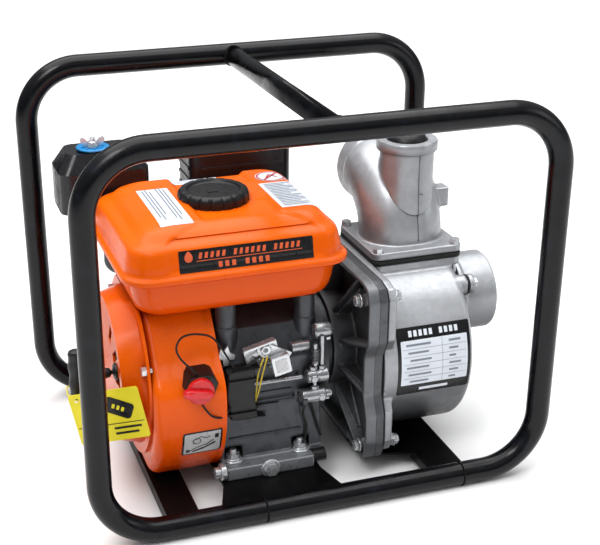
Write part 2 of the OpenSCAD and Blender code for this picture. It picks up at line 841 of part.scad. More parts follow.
module carburetor() {
    color(cast_grey) difference() {
        union() {
            xcyl(-140, -100, 15, carb_y, carb_z);
            block([-138, -104], [84, 116], [176, carb_z]);
            zcyl(160, 176, 15, -121, carb_y);
            xcyl(-104, cyl_x - 46, 15, port_y, port_z);
            xslab(-104, -100) rounded([78, 115], [172, 215], 8);
        }
        xcyl(-141, -99, 9, carb_y, carb_z);
        for (p = [choke_at, fuel_at]) ycyl(60, 89.5, 2.5, p[0], p[1]);
        xcyl(-100, -80, 9, port_y, port_z);
    }
}

// Small lever on a pivot pin that points to the front; a is its slope at rest
module small_lever(p, l, a) {
    ycyl(81, 89, 2.5 - run_gap, p[0], p[1]);
    yslab(81, 83) translate(p) rotate(a) {
        circle(5);
        translate([0, -2.5]) square([l, 5]);
        translate([l, 0]) circle(5);
    }
    ycyl(77, 81.1, 3.5, p[0] + l * cos(a), p[1] + l * sin(a));
}

module choke_lever() {
    color(zinc) small_lever(choke_at, 26, 180);
}

module fuel_valve_lever() {
    color(zinc) small_lever(fuel_at, 12, 180);
}

// Silencer box, and the port block and pipe that carry it
module muffler() {
    pipe_y = port_y + 14;
    color(dark_cast) difference() {
        union() {
            difference() {
                zslab(muffler_z, 318) rounded([-72, 50], [92, 150], 10);
                zslab(muffler_z + 2, 316) rounded([-70, 48], [94, 148], 9);
            }
            zcyl(port_z, muffler_z + 1, 11, pipe_x, pipe_y);
            block([pipe_x - 20, pipe_x + 13], [port_y - 13, port_y + 27], [port_z - 13, port_z + 13]);
            xcyl(cyl_x + 46, pipe_x - 15, 12, port_y, port_z);
        }
        zcyl(port_z, muffler_z + 3, 8, pipe_x, pipe_y);
        xcyl(0, pipe_x + 5, 9, port_y, port_z);
        block([pipe_x - 9, pipe_x + 9], [port_y, port_y + 23], [port_z - 8, port_z + 8]);
        zcyl(315, 319, 7, -50, 120);
    }
}

module spark_plug() {
    color("white") along_bore(deck + 15) rotate([-90, 0, 0]) {
        translate([0, 0, 26]) cylinder(h = 20, r = 7);
        translate([0, 0, 46]) cylinder(h = 22, r = 5);
    }
}

// ---------------------------------------------------------------- controls

module control_bracket() {
    color(zinc) difference() {
        union() {
            block([-74, -30], [control_y, control_y + 2], [153, 176]);
            block([-60, -30], [control_y, control_y + 2], [142, 154]);
            block([-58, -34], [control_y + 2, -106], [142, 149]);
        }
        ycyl(control_y - 1, control_y + 3, 3, lever_x, lever_z);
    }
}

module throttle_lever() {
    color(zinc) {
        ycyl(control_y - 6, control_y + 4, 3 - run_gap, lever_x, lever_z);
        yslab(control_y - 3, control_y - 0.5) translate([lever_x, lever_z]) {
            circle(8);
            rotate(-28) translate([0, -7]) square([30, 14]);
        }
    }
}

module governor_arm() {
    color(zinc) {
        xcyl(governor_x, governor_x + 36, 6, governor_y, governor_z);
        zcyl(governor_z, 176, 2.4, governor_x + 20, governor_y);
        xcyl(governor_x + 12, governor_x + 28, 5, governor_y, 128);
    }
}

module oil_alert_unit() {
    color(rubber_black) {
        block([-88, -62], [-122, -110], [94, 152]);
        block([-86, -64], [-110, -106], [130, 148]);
    }
}

module switch_body() {
    color(rubber_black) difference() {
        yslab(-141, -112) rounded([switch_x - 17, switch_x + 22], [switch_z - 15, switch_z + 15], 10);
        xslab(shroud_x0, shroud_x1) shroud_outline();
        ycyl(-142, -136, 5 + run_gap, switch_x, switch_z);
    }
}

module switch_knob() {
    color("crimson") {
        ycyl(-151, -141.4, 14, switch_x, switch_z);
        ycyl(-142, -137, 5, switch_x, switch_z);
        block([switch_x - 19, switch_x + 12], [-157, -150.5], [switch_z - 4, switch_z + 4]);
    }
}

module oil_dipstick() {
    color("silver") {
        xcyl(0.3, 15, 7.5, dip_y, dip_z);
        xcyl(-50, 0.4, 5 - run_gap, dip_y, dip_z);
    }
}

// Switch leads on the shroud, the ignition lead and the fuel hose

module leads_and_hose() {
    color(rubber_black) {
        cord(switch_lead_high, 1.2);
        cord(switch_lead_low, 1.2);
        cord(ignition_lead, 3);
        cord(fuel_hose_path, 2.5);
    }
}

// ---------------------------------------------------------------- pump

// Near side of the bolted joint face, in Y and Z from the plate's middle line
function plate_side(t) = [[84 - t, 230 - t], [100 - t, 226 - t], [106 - t, 212], [106 - t, 166],
    [97 - t, 147], [97 - t, 101], [106 - t, 80], [107 - t, 45], [102 - t, 28 + t], [93 - t, 25 + t]];
module plate_outline(t = 0) {
    side = plate_side(t);
    n = len(side);
    polygon(concat([for (p = side) [plate_y - p[0], p[1]]],
        [for (i = [n - 1:-1:0]) [plate_y + side[i][0], side[i][1]]]));
}

module at_casing_bolts() {
    for (s = [-1, 1], b = [bolt_top, bolt_low]) translate([0, plate_y + s * b[0], b[1]]) children();
}

module pump_adapter() {
    color(cast_grey) difference() {
        union() {
            xslab(plate_x0, plate_x1) plate_outline();
            xcyl(pto_x, plate_x0 + 1, 56);
            for (rib = adapter_ribs) translate([0, crank_y, crank_z]) rotate([rib[0] - 90, 0, 0])
                yslab(-2.5, 2.5) polygon([[pto_x + 8, 52], [plate_x0 + 1, 52], [plate_x0 + 1, rib[1]],
                    [plate_x0 - 6, rib[1]]]);
        }
        xcyl(pto_x + 6, plate_x0, 50);
        xcyl(pto_x - 1, pto_x + 7, 37);
        xcyl(plate_x0 - 1, plate_x1 + 1, 13);
        xcyl(plate_x1 - 6, plate_x1 + 1, 19);
        at_casing_bolts() xcyl(plate_x0 - 1, plate_x1 + 1, 4.5, 0, 0);
        adapter_screws() xcyl(pto_x - 1, pto_x + 7, 3.3, 0, 0);
        for (y = pad_y) zcyl(20, 40, 3, pad_x, y);
    }
}

module at_elbow_bolts() {
    for (x = [-1, 1], y = [-1, 1])
        translate([elbow_x + x * elbow_bolt, elbow_y + y * elbow_bolt, 0]) children();
}

module at_suction_bolts() {
    for (s = [-1, 1]) translate([0, suction_y - s * ear_y, suction_z + s * ear_z]) children();
}

module suction_outline() {
    translate([suction_y, suction_z]) circle(49);
    translate([suction_y, suction_z]) rotate(-atan2(ear_z, ear_y))
        square([2 * norm([ear_y, ear_z]), 21], center = true);
    for (s = [-1, 1]) translate([suction_y - s * ear_y, suction_z + s * ear_z]) circle(11);
}

module pump_casing() {
    color(cast_grey) difference() {
        union() {
            xslab(casing_x0, casing_x1) plate_outline(4);
            xcyl(casing_x0, barrel_x1 - 8, barrel_r, barrel_y, barrel_z);
            xcyl(barrel_x1 - 9, barrel_x1, barrel_r - 8, barrel_y, barrel_z);
            translate([barrel_x1 - 8, barrel_y, barrel_z]) rotate([0, 90, 0])
                rotate_extrude() translate([barrel_r - 8, 0]) circle(8);
            zslab(170, gasket_z) rounded([elbow_x - elbow_h + 1, barrel_x1],
                [elbow_y - elbow_h + 2, elbow_y + elbow_h - 2], 8);
            zslab(gasket_z - 10, gasket_z) rounded([elbow_x - elbow_h + 1, elbow_x + elbow_h - 1],
                [elbow_y - elbow_h + 1, elbow_y + elbow_h - 1], 8);
            xslab(barrel_x1 - 6, suction_x0) suction_outline();
        }
        xcyl(casing_x0 - 1, barrel_x1 - 8, barrel_r - barrel_wall, barrel_y, barrel_z);
        zslab(160, gasket_z + 1) rounded([elbow_x - port_d / 2, elbow_x + port_d / 2],
            [elbow_y - 36, elbow_y + 36], 14);
        xcyl(barrel_x1 - 9, suction_x0 + 1, 42, suction_y, suction_z);
        at_casing_bolts() xcyl(casing_x0 - 1, casing_x1 + 1, 4.5, 0, 0);
        at_elbow_bolts() zcyl(gasket_z - 22, gasket_z + 1, 3, 0, 0);
        at_suction_bolts() xcyl(suction_x0 - 12, suction_x0 + 1, 3, 0, 0);
    }
}

module volute() {
    color(cast_grey) difference() {
        union() {
            xcyl(plate_x1, 116, 78);
            xcyl(116, 132, 36);
        }
        xcyl(plate_x1 - 1, 112, 72);
        xcyl(111, 133, 30);
        block([80, 110], [crank_y - 30, crank_y + 10], [crank_z + 60, crank_z + 90]);
    }
}

// Backward-curved vane from the hub to the rim
function vane_edge(a, r) =
    let (t = a - 75 * ln(r / 14) / ln(impeller_r / 14))
    [r * cos(t), r * sin(t)];

module impeller() {
    steps = 10;
    radii = [for (i = [0:steps]) 14 + (impeller_r - 15) * i / steps];
    color("goldenrod") difference() {
        union() {
            xcyl(84, 88, impeller_r);
            xcyl(84, 108, 15);
            xcyl(plate_x1 + 0.3, 85, 16);
            for (v = [0:vane_count - 1]) xslab(87, 106) translate([crank_y, crank_z])
                rotate(v * 360 / vane_count) polygon(concat([for (r = radii) vane_edge(0, r)],
                    [for (i = [steps:-1:0]) vane_edge(150 / radii[i], radii[i])]));
        }
        xcyl(plate_x1 - 1, 104, pto_r);
    }
}

// Mechanical seal: fixed seat in the adapter
module shaft_seal() {
    color("white") difference() {
        xcyl(plate_x1 - 6, plate_x1 - 0.3, 19);
        xcyl(plate_x1 - 7, plate_x1 + 1, pto_r + 0.6);
    }
}

// Quarter bend of the discharge duct, with its own cross-section
module duct_bend() {
    translate([elbow_x, elbow_y + bend_c, elbow_z + elbow_t]) rotate([90, 0, -90])
        rotate_extrude(angle = 90) translate([bend_c, 0]) children();
}

module discharge_elbow() {
    color(cast_grey) difference() {
        union() {
            zslab(elbow_z, elbow_z + elbow_t) rounded([elbow_x - elbow_h, elbow_x + elbow_h],
                [elbow_y - elbow_h, elbow_y + elbow_h], 9);
            duct_bend() rounded([-duct_y, duct_y], [-duct_x, duct_x], 37);
            ycyl(elbow_y + bend_c, outlet_y, hose_d / 2, elbow_x, outlet_z);
            zcyl(outlet_z - 30, neck_top, 29, neck_x, neck_y);
            zcyl(neck_top - 10, neck_top, 33, neck_x, neck_y);
            block([elbow_x + 30, elbow_x + 54], [elbow_y - 10, elbow_y + 8], [268, 290]);
        }
        zcyl(elbow_z - 1, elbow_z + elbow_t, port_d / 2 - 2, elbow_x, elbow_y);
        duct_bend() circle(port_d / 2 - 2);
        ycyl(elbow_y + bend_c, outlet_y + 1, port_d / 2, elbow_x, outlet_z);
        zcyl(outlet_z, neck_top + 1, 22, neck_x, neck_y);
        at_elbow_bolts() zcyl(elbow_z - 1, elbow_z + elbow_t + 1, 3.5, 0, 0);
    }
}

module suction_flange() {
    color(cast_grey) difference() {
        union() {
            xslab(suction_x0 + 2, suction_x0 + 9) suction_outline();
            xcyl(suction_x0 + 9, suction_x1, hose_d / 2, suction_y, suction_z);
        }
        xcyl(suction_x0 + 1, suction_x1 + 1, port_d / 2, suction_y, suction_z);
        at_suction_bolts() xcyl(suction_x0 + 1, suction_x0 + 12, 3.3, 0, 0);
    }
}

// Flap that closes the suction port from inside
module check_valve() {
    color(rubber_black) xcyl(suction_x0 - 2.4, suction_x0 + 1.6, flap_r, suction_y, suction_z);
}

module filler_plug() {
    color(rubber_black) {
        zcyl(neck_top - 22, neck_top + 1, 22 - run_gap, neck_x, neck_y);
        zcyl(neck_top + 1, neck_top + 6, 18, neck_x, neck_y);
        block([neck_x - 16, neck_x + 16], [neck_y - 5, neck_y + 5], [neck_top + 5, neck_top + 12]);
    }
}

// ---------------------------------------------------------------- fasteners

module hex_x(x0, x1, across, shank0, shank1, r) {
    xhex(x0, x1, across, 0, 0);
    xcyl(shank0, shank1, r, 0, 0);
}

module fasteners() {
    color(zinc) {
        for (x = foot_x, y = foot_y) {
            zcyl(foot_top, foot_top + 2, 9, x, y);
            zhex(foot_top + 2, foot_top + 8, 13, x, y);
            zcyl(15, foot_top + 3, 4, x, y);
            zhex(14, 21, 13, x, y);
        }
        at_casing_bolts() {
            hex_x(plate_x0 - 6, plate_x0, 13, plate_x0 - 1, casing_x1 + 7, 4);
            xhex(casing_x1, casing_x1 + 6, 13, 0, 0);
        }
        adapter_screws() hex_x(pto_x + 6, pto_x + 11, 10, pto_x - 12, pto_x + 7, 3);
        cover_screws() hex_x(cover_x, cover_x + 5, 10, case_x1 - 9, cover_x + 1, 2.95);
        recoil_screws() hex_x(shroud_x0 - 8, shroud_x0 - 3, 9, shroud_x0 - 4, shroud_x0 + 3, 2.95);
        at_suction_bolts()
            hex_x(suction_x0 + 9, suction_x0 + 14, 10, suction_x0 - 10, suction_x0 + 10, 2.95);
        at_elbow_bolts() {
            zhex(elbow_z + elbow_t, elbow_z + elbow_t + 5, 10, 0, 0);
            zcyl(gasket_z - 20, elbow_z + elbow_t + 1, 2.95, 0, 0);
        }
        for (x = [-34, 34], y = [-28, 28]) along_bore(deck + head_h + 3) translate([x, y, 0])
            cylinder(h = 4, r = 4.5);
        for (y = pad_y) {
            zhex(11, 16, 10, pad_x, y);
            zcyl(12, 38, 2.95, pad_x, y);
        }
        translate([-50, -128, 33]) rotate([90, 0, 0]) cylinder(h = 6, r = 8, $fn = 6);
        xcyl(-110, -98, 6, -120, 33);
    }
}

frame_loop_front();
frame_loop_rear();
lifting_tube();
cross_plate_left();
cross_plate_right();
engine_base_plate();
crankcase();
crankcase_cover();
cylinder_head();
rocker_cover();
gaskets();
main_bearings();
oil_seals();
crankshaft();
camshaft();
crank_pin();
connecting_rod();
piston();
wrist_pin();
intake_valve();
exhaust_valve();
flywheel();
starter_cup();
ignition_coil();
fan_shroud();
recoil_housing();
recoil_reel();
starter_grip();
hang_tag();
fuel_tank_lower();
fuel_tank_upper();
fuel_cap();
rubber_mounts();
air_cleaner_case();
air_cleaner_cover();
air_filter();
wing_nut();
carburetor();
choke_lever();
fuel_valve_lever();
muffler();
spark_plug();
control_bracket();
throttle_lever();
governor_arm();
oil_alert_unit();
switch_body();
switch_knob();
oil_dipstick();
leads_and_hose();
pump_adapter();
pump_casing();
volute();
impeller();
shaft_seal();
discharge_elbow();
suction_flange();
check_valve();
filler_plug();
fasteners();
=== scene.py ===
"""Looks of an engine-driven water pump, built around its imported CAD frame.

Every mesh is made in millimetres in the axes of the frame: +X towards the pump, +Y to the back,
+Z up. Places come from the boxes of the CAD nodes, and fixed numbers are measures in millimetres.
"""

from math import cos, hypot, radians, sin, sqrt, tau

import bmesh
import bpy
from mathutils import Matrix, Vector
from mathutils.bvhtree import BVHTree


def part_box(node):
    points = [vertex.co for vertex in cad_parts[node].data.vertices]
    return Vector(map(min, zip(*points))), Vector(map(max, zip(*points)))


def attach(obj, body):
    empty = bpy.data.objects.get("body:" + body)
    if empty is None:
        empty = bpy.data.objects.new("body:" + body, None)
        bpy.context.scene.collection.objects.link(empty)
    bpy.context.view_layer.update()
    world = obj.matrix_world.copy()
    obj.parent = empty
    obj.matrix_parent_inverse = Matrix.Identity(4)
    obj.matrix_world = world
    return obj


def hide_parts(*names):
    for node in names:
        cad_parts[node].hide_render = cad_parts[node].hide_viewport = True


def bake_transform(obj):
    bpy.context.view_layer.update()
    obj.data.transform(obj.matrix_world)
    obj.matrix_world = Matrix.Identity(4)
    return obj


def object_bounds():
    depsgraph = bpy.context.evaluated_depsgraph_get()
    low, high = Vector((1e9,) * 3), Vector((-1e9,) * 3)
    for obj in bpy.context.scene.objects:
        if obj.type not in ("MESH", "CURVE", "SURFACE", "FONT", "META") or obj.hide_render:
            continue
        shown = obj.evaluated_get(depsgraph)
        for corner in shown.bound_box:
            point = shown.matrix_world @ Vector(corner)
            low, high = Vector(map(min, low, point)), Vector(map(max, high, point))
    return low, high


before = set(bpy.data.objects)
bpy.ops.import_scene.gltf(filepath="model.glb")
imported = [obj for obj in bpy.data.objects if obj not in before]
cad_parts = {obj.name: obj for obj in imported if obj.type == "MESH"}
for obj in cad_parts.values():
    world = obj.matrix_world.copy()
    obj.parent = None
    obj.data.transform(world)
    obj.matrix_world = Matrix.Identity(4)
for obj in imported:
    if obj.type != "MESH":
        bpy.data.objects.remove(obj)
cad_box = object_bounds()
MM = 0.001
X, Y, Z = Vector((1, 0, 0)), Vector((0, 1, 0)), Vector((0, 0, 1))


def span(node):
    """Lowest and highest corner of a CAD node, in millimetres."""
    low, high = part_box(node)
    return low / MM, high / MM


def middle(node):
    low, high = span(node)
    return (low + high) / 2


# ---------------------------------------------------------------- materials


def surface(name, color, rough, metal=0.0, tint=0.1, tint_size=30, grain=0.7, depth=0.1,
            coat=0.0, smudge=0.08, dirt=None, gleam=0.5, below=None, corner_shade=None, underside_shade=None):
    """Principled material with colour drift, smudges in the gloss and a fine grain. Sizes in mm.

    dirt is (colour, amount, size of the patches), below is (height, colour) for a machined foot,
    corner_shade is (colour, reach) for painted shade that gathers in corners and hollows, and
    underside_shade is the tone of the painted shade on faces that look down.
    """
    m = bpy.data.materials.new(name)
    m.use_nodes = True
    nodes, links = m.node_tree.nodes, m.node_tree.links
    shader = nodes["Principled BSDF"]
    shader.inputs["Metallic"].default_value = metal
    shader.inputs["Coat Weight"].default_value = coat
    shader.inputs["Coat Roughness"].default_value = 0.12
    shader.inputs["Specular IOR Level"].default_value = gleam
    where = nodes.new("ShaderNodeTexCoord").outputs["Object"]

    def cloud(size, detail):
        n = nodes.new("ShaderNodeTexNoise")
        n.inputs["Scale"].default_value = 1 / (size * MM)
        n.inputs["Detail"].default_value = detail
        links.new(where, n.inputs["Vector"])
        return n.outputs["Fac"]

    ramp = nodes.new("ShaderNodeValToRGB")
    ramp.color_ramp.elements[0].position = 0.3
    ramp.color_ramp.elements[1].position = 0.7
    ramp.color_ramp.elements[0].color = [c * (1 - tint) for c in color] + [1]
    ramp.color_ramp.elements[1].color = [min(1, c * (1 + tint)) for c in color] + [1]
    links.new(cloud(tint_size, 4), ramp.inputs["Fac"])
    out = ramp.outputs["Color"]

    def blend_in(factor, tone):
        mix = nodes.new("ShaderNodeMix")
        mix.data_type = "RGBA"
        mix.inputs["B"].default_value = [*tone, 1]
        links.new(factor, mix.inputs["Factor"])
        links.new(out, mix.inputs["A"])
        return mix.outputs["Result"]

    def ranged(value, low, high, top, bottom=0.0):
        r = nodes.new("ShaderNodeMapRange")
        r.inputs["From Min"].default_value = low
        r.inputs["From Max"].default_value = high
        r.inputs["To Min"].default_value = bottom
        r.inputs["To Max"].default_value = top
        links.new(value, r.inputs["Value"])
        return r.outputs["Result"]

    if below:
        parts = nodes.new("ShaderNodeSeparateXYZ")
        links.new(where, parts.inputs["Vector"])
        out = blend_in(ranged(parts.outputs["Z"], (below[0] + 1) * MM, below[0] * MM, 1), below[1])
    # Painted shade: faces that look down are blended towards a darker tone.
    if underside_shade:
        facing = nodes.new("ShaderNodeSeparateXYZ")
        links.new(nodes.new("ShaderNodeNewGeometry").outputs["Normal"], facing.inputs["Vector"])
        out = blend_in(ranged(facing.outputs["Z"], 0.55, -0.75, 1), underside_shade)
    if dirt:
        out = blend_in(ranged(cloud(dirt[2], 8), 0.56, 0.72, dirt[1]), dirt[0])
    # Painted shade: ambient occlusion darkens corners and hollows towards a darker tone.
    if corner_shade:
        shade = nodes.new("ShaderNodeAmbientOcclusion")
        shade.samples = 6
        shade.inputs["Distance"].default_value = corner_shade[1] * MM
        out = blend_in(ranged(shade.outputs["AO"], 0.75, 0.15, 0.92), corner_shade[0])
    links.new(out, shader.inputs["Base Color"])
    gloss = ranged(cloud(tint_size * 0.6, 6), 0.3, 0.7, min(1, rough + smudge), max(0.02, rough - smudge))
    links.new(gloss, shader.inputs["Roughness"])
    bump = nodes.new("ShaderNodeBump")
    bump.inputs["Strength"].default_value = 1.0
    bump.inputs["Distance"].default_value = depth * MM
    links.new(cloud(grain, 3), bump.inputs["Height"])
    links.new(bump.outputs["Normal"], shader.inputs["Normal"])
    return m


# Several materials below have painted shade in their colour: darker in corners and hollows, and darker on
# faces that look down.
DUST = (0.32, 0.3, 0.27)
BLACK_TUBE = surface("black_enamel", (0.0012, 0.0014, 0.0024), 0.22, gleam=0.27, grain=4, depth=0.04,
                     dirt=((0.008, 0.01, 0.018), 0.5, 16), smudge=0.09)
BLACK_PLATE = surface("black_plate", (0.0016, 0.0016, 0.002), 0.42, gleam=0.12, grain=1.2, depth=0.05,
                      dirt=(DUST, 0.012, 9))
ORANGE = surface("orange_enamel", (0.88, 0.126, 0.001), 0.25, gleam=0.16, coat=0.06, tint=0.05,
                 tint_size=60, grain=2.4, depth=0.03, smudge=0.05, corner_shade=((0.3, 0.012, 0.0), 16),
                 underside_shade=(0.6, 0.05, 0.0))
CAST = surface("cast_alloy", (0.5, 0.515, 0.54), 0.37, metal=0.6, tint=0.07, tint_size=11, grain=0.6,
               depth=0.05, dirt=((0.22, 0.22, 0.235), 0.2, 5), corner_shade=((0.04, 0.04, 0.045), 10),
               underside_shade=(0.03, 0.03, 0.034))
CAST_DARK = surface("adapter_alloy", (0.2, 0.207, 0.22), 0.4, metal=0.6, tint=0.1, tint_size=12,
                    grain=0.8, depth=0.08, dirt=((0.06, 0.06, 0.065), 0.4, 9),
                    corner_shade=((0.006, 0.006, 0.007), 34), underside_shade=(0.05, 0.05, 0.056))
# Painted shade: a darker copy of the adapter alloy for the adapter shell, so that the cavities behind the
# webs look shaded.
ADAPTER_SHADED = surface("adapter_alloy_painted_shade", (0.085, 0.088, 0.095), 0.44, metal=0.5, tint=0.14,
                       tint_size=14, grain=0.8, depth=0.08, dirt=((0.03, 0.03, 0.033), 0.4, 9),
                       corner_shade=((0.004, 0.004, 0.005), 40))
CASE_GREY = surface("case_alloy", (0.052, 0.056, 0.063), 0.36, metal=0.5, tint=0.14, tint_size=16,
                    grain=0.9, depth=0.07, dirt=((0.02, 0.02, 0.022), 0.5, 10),
                    below=(43, (0.24, 0.25, 0.27)), corner_shade=((0.006, 0.006, 0.007), 12))
FOOT_GREY = surface("machined_foot", (0.3, 0.31, 0.33), 0.33, metal=0.6, tint=0.1, tint_size=9,
                    grain=0.5, depth=0.04, corner_shade=((0.03, 0.03, 0.03), 5))
ZINC = surface("zinc_plate", (0.62, 0.64, 0.66), 0.3, metal=0.75, tint=0.06, tint_size=14, grain=0.6,
               depth=0.02, dirt=((0.3, 0.33, 0.36), 0.3, 9), corner_shade=((0.1, 0.1, 0.1), 4))
STEEL = surface("bright_steel", (0.36, 0.37, 0.385), 0.27, metal=0.9, tint=0.08, tint_size=14,
                grain=0.5, depth=0.02, corner_shade=((0.03, 0.03, 0.03), 6))
IRON = surface("cast_iron", (0.1, 0.098, 0.095), 0.6, metal=0.7, tint=0.2, tint_size=7, grain=0.8,
               depth=0.15, dirt=((0.14, 0.07, 0.03), 0.35, 9))
BLACK_PLASTIC = surface("black_plastic", (0.006, 0.006, 0.007), 0.4, gleam=0.35, tint=0.15,
                        tint_size=10, grain=0.5, depth=0.04)
GLOSS_PLASTIC = surface("gloss_black_plastic", (0.006, 0.006, 0.008), 0.26, gleam=0.4, tint=0.1,
                        tint_size=20, grain=2, depth=0.03)
RUBBER = surface("black_rubber", (0.01, 0.01, 0.01), 0.62, gleam=0.3, tint=0.2, tint_size=8,
                 grain=0.4, depth=0.06)
RED = surface("red_plastic", (0.6, 0.006, 0.01), 0.28, tint=0.06, tint_size=8, grain=0.8, depth=0.03,
              coat=0.15, corner_shade=((0.12, 0.0, 0.002), 5))
BLUE = surface("blue_plastic", (0.01, 0.25, 0.6), 0.3, tint=0.08, tint_size=6, grain=0.6, depth=0.03)
FOAM = surface("filter_foam", (0.1, 0.1, 0.1), 0.95, tint=0.4, tint_size=2, grain=1.2, depth=0.6)
CERAMIC = surface("white_ceramic", (0.8, 0.79, 0.75), 0.22, tint=0.04, tint_size=9, grain=1,
                  depth=0.02)
MUFFLER = surface("heat_black", (0.006, 0.006, 0.008), 0.36, metal=0.2, gleam=0.4, tint=0.2,
                  tint_size=12, grain=0.9, depth=0.06)
YELLOW = surface("yellow_tag", (0.78, 0.66, 0.004), 0.4, tint=0.04, tint_size=14, grain=1.5, depth=0.02)
PAPER = surface("label_white", (0.72, 0.76, 0.82), 0.4, tint=0.03, tint_size=12, grain=1.5,
                depth=0.015)
SILVER = surface("label_silver", (0.5, 0.5, 0.51), 0.32, metal=0.3, tint=0.06, tint_size=12,
                 grain=1.5, depth=0.02)
INK = surface("label_black", (0.005, 0.005, 0.006), 0.3, gleam=0.4, tint=0.1, tint_size=12,
              grain=1.5, depth=0.015)
INK_GREY = surface("label_grey", (0.2, 0.22, 0.27), 0.45, tint=0.1, tint_size=5, grain=1.5, depth=0.01)
INK_RED = surface("label_red", (0.5, 0.03, 0.04), 0.4, tint=0.08, tint_size=5, grain=1.5, depth=0.01)
INK_ORANGE = surface("label_orange", (0.7, 0.11, 0.03), 0.38, tint=0.08, tint_size=6, grain=1.5,
                     depth=0.01)
YELLOW_WIRE = surface("yellow_wire", (0.55, 0.4, 0.02), 0.45, tint=0.15, tint_size=4, grain=0.5,
                      depth=0.02)

# ---------------------------------------------------------------- mesh helpers


def put(name, data):
    """A new object in the scene."""
    o = bpy.data.objects.new(name, data)
    bpy.context.scene.collection.objects.link(o)
    return o


def piece(name, verts, faces, material, body="base", slot=None, edge=0.0, angle=38):
    """A mesh from points in millimetres, outward normals, soft shading and optional rounded edges."""
    mesh = bpy.data.meshes.new(name)
    mesh.from_pydata([Vector(v) * MM for v in verts], [], faces)
    b = bmesh.new()
    b.from_mesh(mesh)
    bmesh.ops.remove_doubles(b, verts=b.verts, dist=1e-6)
    bmesh.ops.recalc_face_normals(b, faces=b.faces)
    b.to_mesh(mesh)
    b.free()
    mesh.materials.append(material)
    o = put(name, mesh)
    finish_shading(o, edge, angle)
    if body:
        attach(o, body)
    return o


def finish_shading(o, edge, angle):
    """Soft shading, with edges sharper than angle rounded, or only kept sharp where edge is 0."""
    o.data.polygons.foreach_set("use_smooth", [True] * len(o.data.polygons))
    if edge:
        b = o.modifiers.new("round_edges", "BEVEL")
        b.width = edge * MM
        b.segments = 2
        b.limit_method = "ANGLE"
        b.angle_limit = radians(angle)
        w = o.modifiers.new("even_normals", "WEIGHTED_NORMAL")
        w.weight = 50
    else:
        o.data.set_sharp_from_angle(angle=radians(angle))


def dress(node, material, edge=0.5, angle=35):
    """A CAD node keeps its mesh and gets a material and rounded edges."""
    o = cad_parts[node]
    o.data.materials.clear()
    o.data.materials.append(material)
    if "custom_normal" in o.data.attributes:
        o.data.attributes.remove(o.data.attributes["custom_normal"])
    weld = o.modifiers.new("join_points", "WELD")
    weld.merge_threshold = 1e-5
    finish_shading(o, edge, angle)
    return o


def join(parts):
    """One (verts, faces) from several."""
    verts, faces = [], []
    for v, f in parts:
        faces += [[i + len(verts) for i in face] for face in f]
        verts += [Vector(p) for p in v]
    return verts, faces


def skin(rings, start=True, end=True):
    """Quads between rings of points of the same count, with flat ends."""
    n = len(rings[0])
    verts = [Vector(p) for ring in rings for p in ring]
    faces = [[i * n + k, i * n + (k + 1) % n, (i + 1) * n + (k + 1) % n, (i + 1) * n + k]
             for i in range(len(rings) - 1) for k in range(n)]
    if start:
        faces.append(list(range(n))[::-1])
    if end:
        faces.append([(len(rings) - 1) * n + k for k in range(n)])
    return verts, faces


def axes_for(axis):
    """Two directions across an axis, and the axis itself, all of length 1."""
    axis = Vector(axis).normalized()
    side = axis.cross(Z if abs(axis.z) < 0.9 else X).normalized()
    return side, axis.cross(side), axis


def turned(profile, at, axis, steps=48, wave=None, start=True, end=True):
    """A turned shape: profile is (radius, height) pairs along axis from at."""
    a, b, c = axes_for(axis)
    at = Vector(at)
    rings = []
    for i, (r, h) in enumerate(profile):
        ring = []
        for k in range(steps):
            t = tau * k / steps
            rr = r * (wave(t, i) if wave else 1)
            ring.append(at + c * h + a * rr * cos(t) + b * rr * sin(t))
        rings.append(ring)
    return skin(rings, start, end)


def rod(path, radius, steps=10):
    """A round bar along a path; radius is a number or a function of the share of the way."""
    pts = [Vector(p) for p in path]
    rings = []
    side = None
    for i, p in enumerate(pts):
        d = (pts[min(i + 1, len(pts) - 1)] - pts[max(i - 1, 0)]).normalized()
        if side is None:
            side = axes_for(d)[0]
        side = (side - d * side.dot(d)).normalized()
        up = d.cross(side)
        r = radius(i / (len(pts) - 1)) if callable(radius) else radius
        rings.append([p + side * r * cos(tau * k / steps) + up * r * sin(tau * k / steps)
                      for k in range(steps)])
    return skin(rings)


def smooth_path(points, per=6):
    """Catmull-Rom curve through the points."""
    p = [Vector(q) for q in points]
    p = [2 * p[0] - p[1], *p, 2 * p[-1] - p[-2]]
    out = []
    for i in range(1, len(p) - 2):
        for k in range(per):
            t = k / per
            a, b, c, d = p[i - 1:i + 3]
            out.append(0.5 * ((2 * b) + (c - a) * t + (2 * a - 5 * b + 4 * c - d) * t * t
                              + (3 * b - a - 3 * c + d) * t ** 3))
    return out + [p[-2]]


def tube(points, radius, steps=8):
    """A round bar on a smooth curve through the points."""
    return rod(smooth_path(points), radius, steps)


def rounded_rect(cx, cy, hx, hy, r, per=12):
    """Points of a rectangle with round corners, counter-clockwise."""
    r = min(r, hx, hy)
    out = []
    for sx, sy, a0 in ((1, 1, 0), (-1, 1, 90), (-1, -1, 180), (1, -1, 270)):
        for k in range(per + 1):
            t = radians(a0 + 90 * k / per)
            out.append((cx + sx * (hx - r) + r * cos(t), cy + sy * (hy - r) + r * sin(t)))
    return out


def spread_evenly(outline, n):
    """n points at equal steps round a closed outline."""
    closed = [*outline, outline[0]]
    lengths = [0]
    for p, q in zip(closed, closed[1:]):
        lengths.append(lengths[-1] + hypot(q[0] - p[0], q[1] - p[1]))
    out, j = [], 0
    for k in range(n):
        s = lengths[-1] * k / n
        while lengths[j + 1] < s:
            j += 1
        f = (s - lengths[j]) / max(1e-9, lengths[j + 1] - lengths[j])
        out.append(tuple(closed[j][i] + f * (closed[j + 1][i] - closed[j][i]) for i in (0, 1)))
    return out


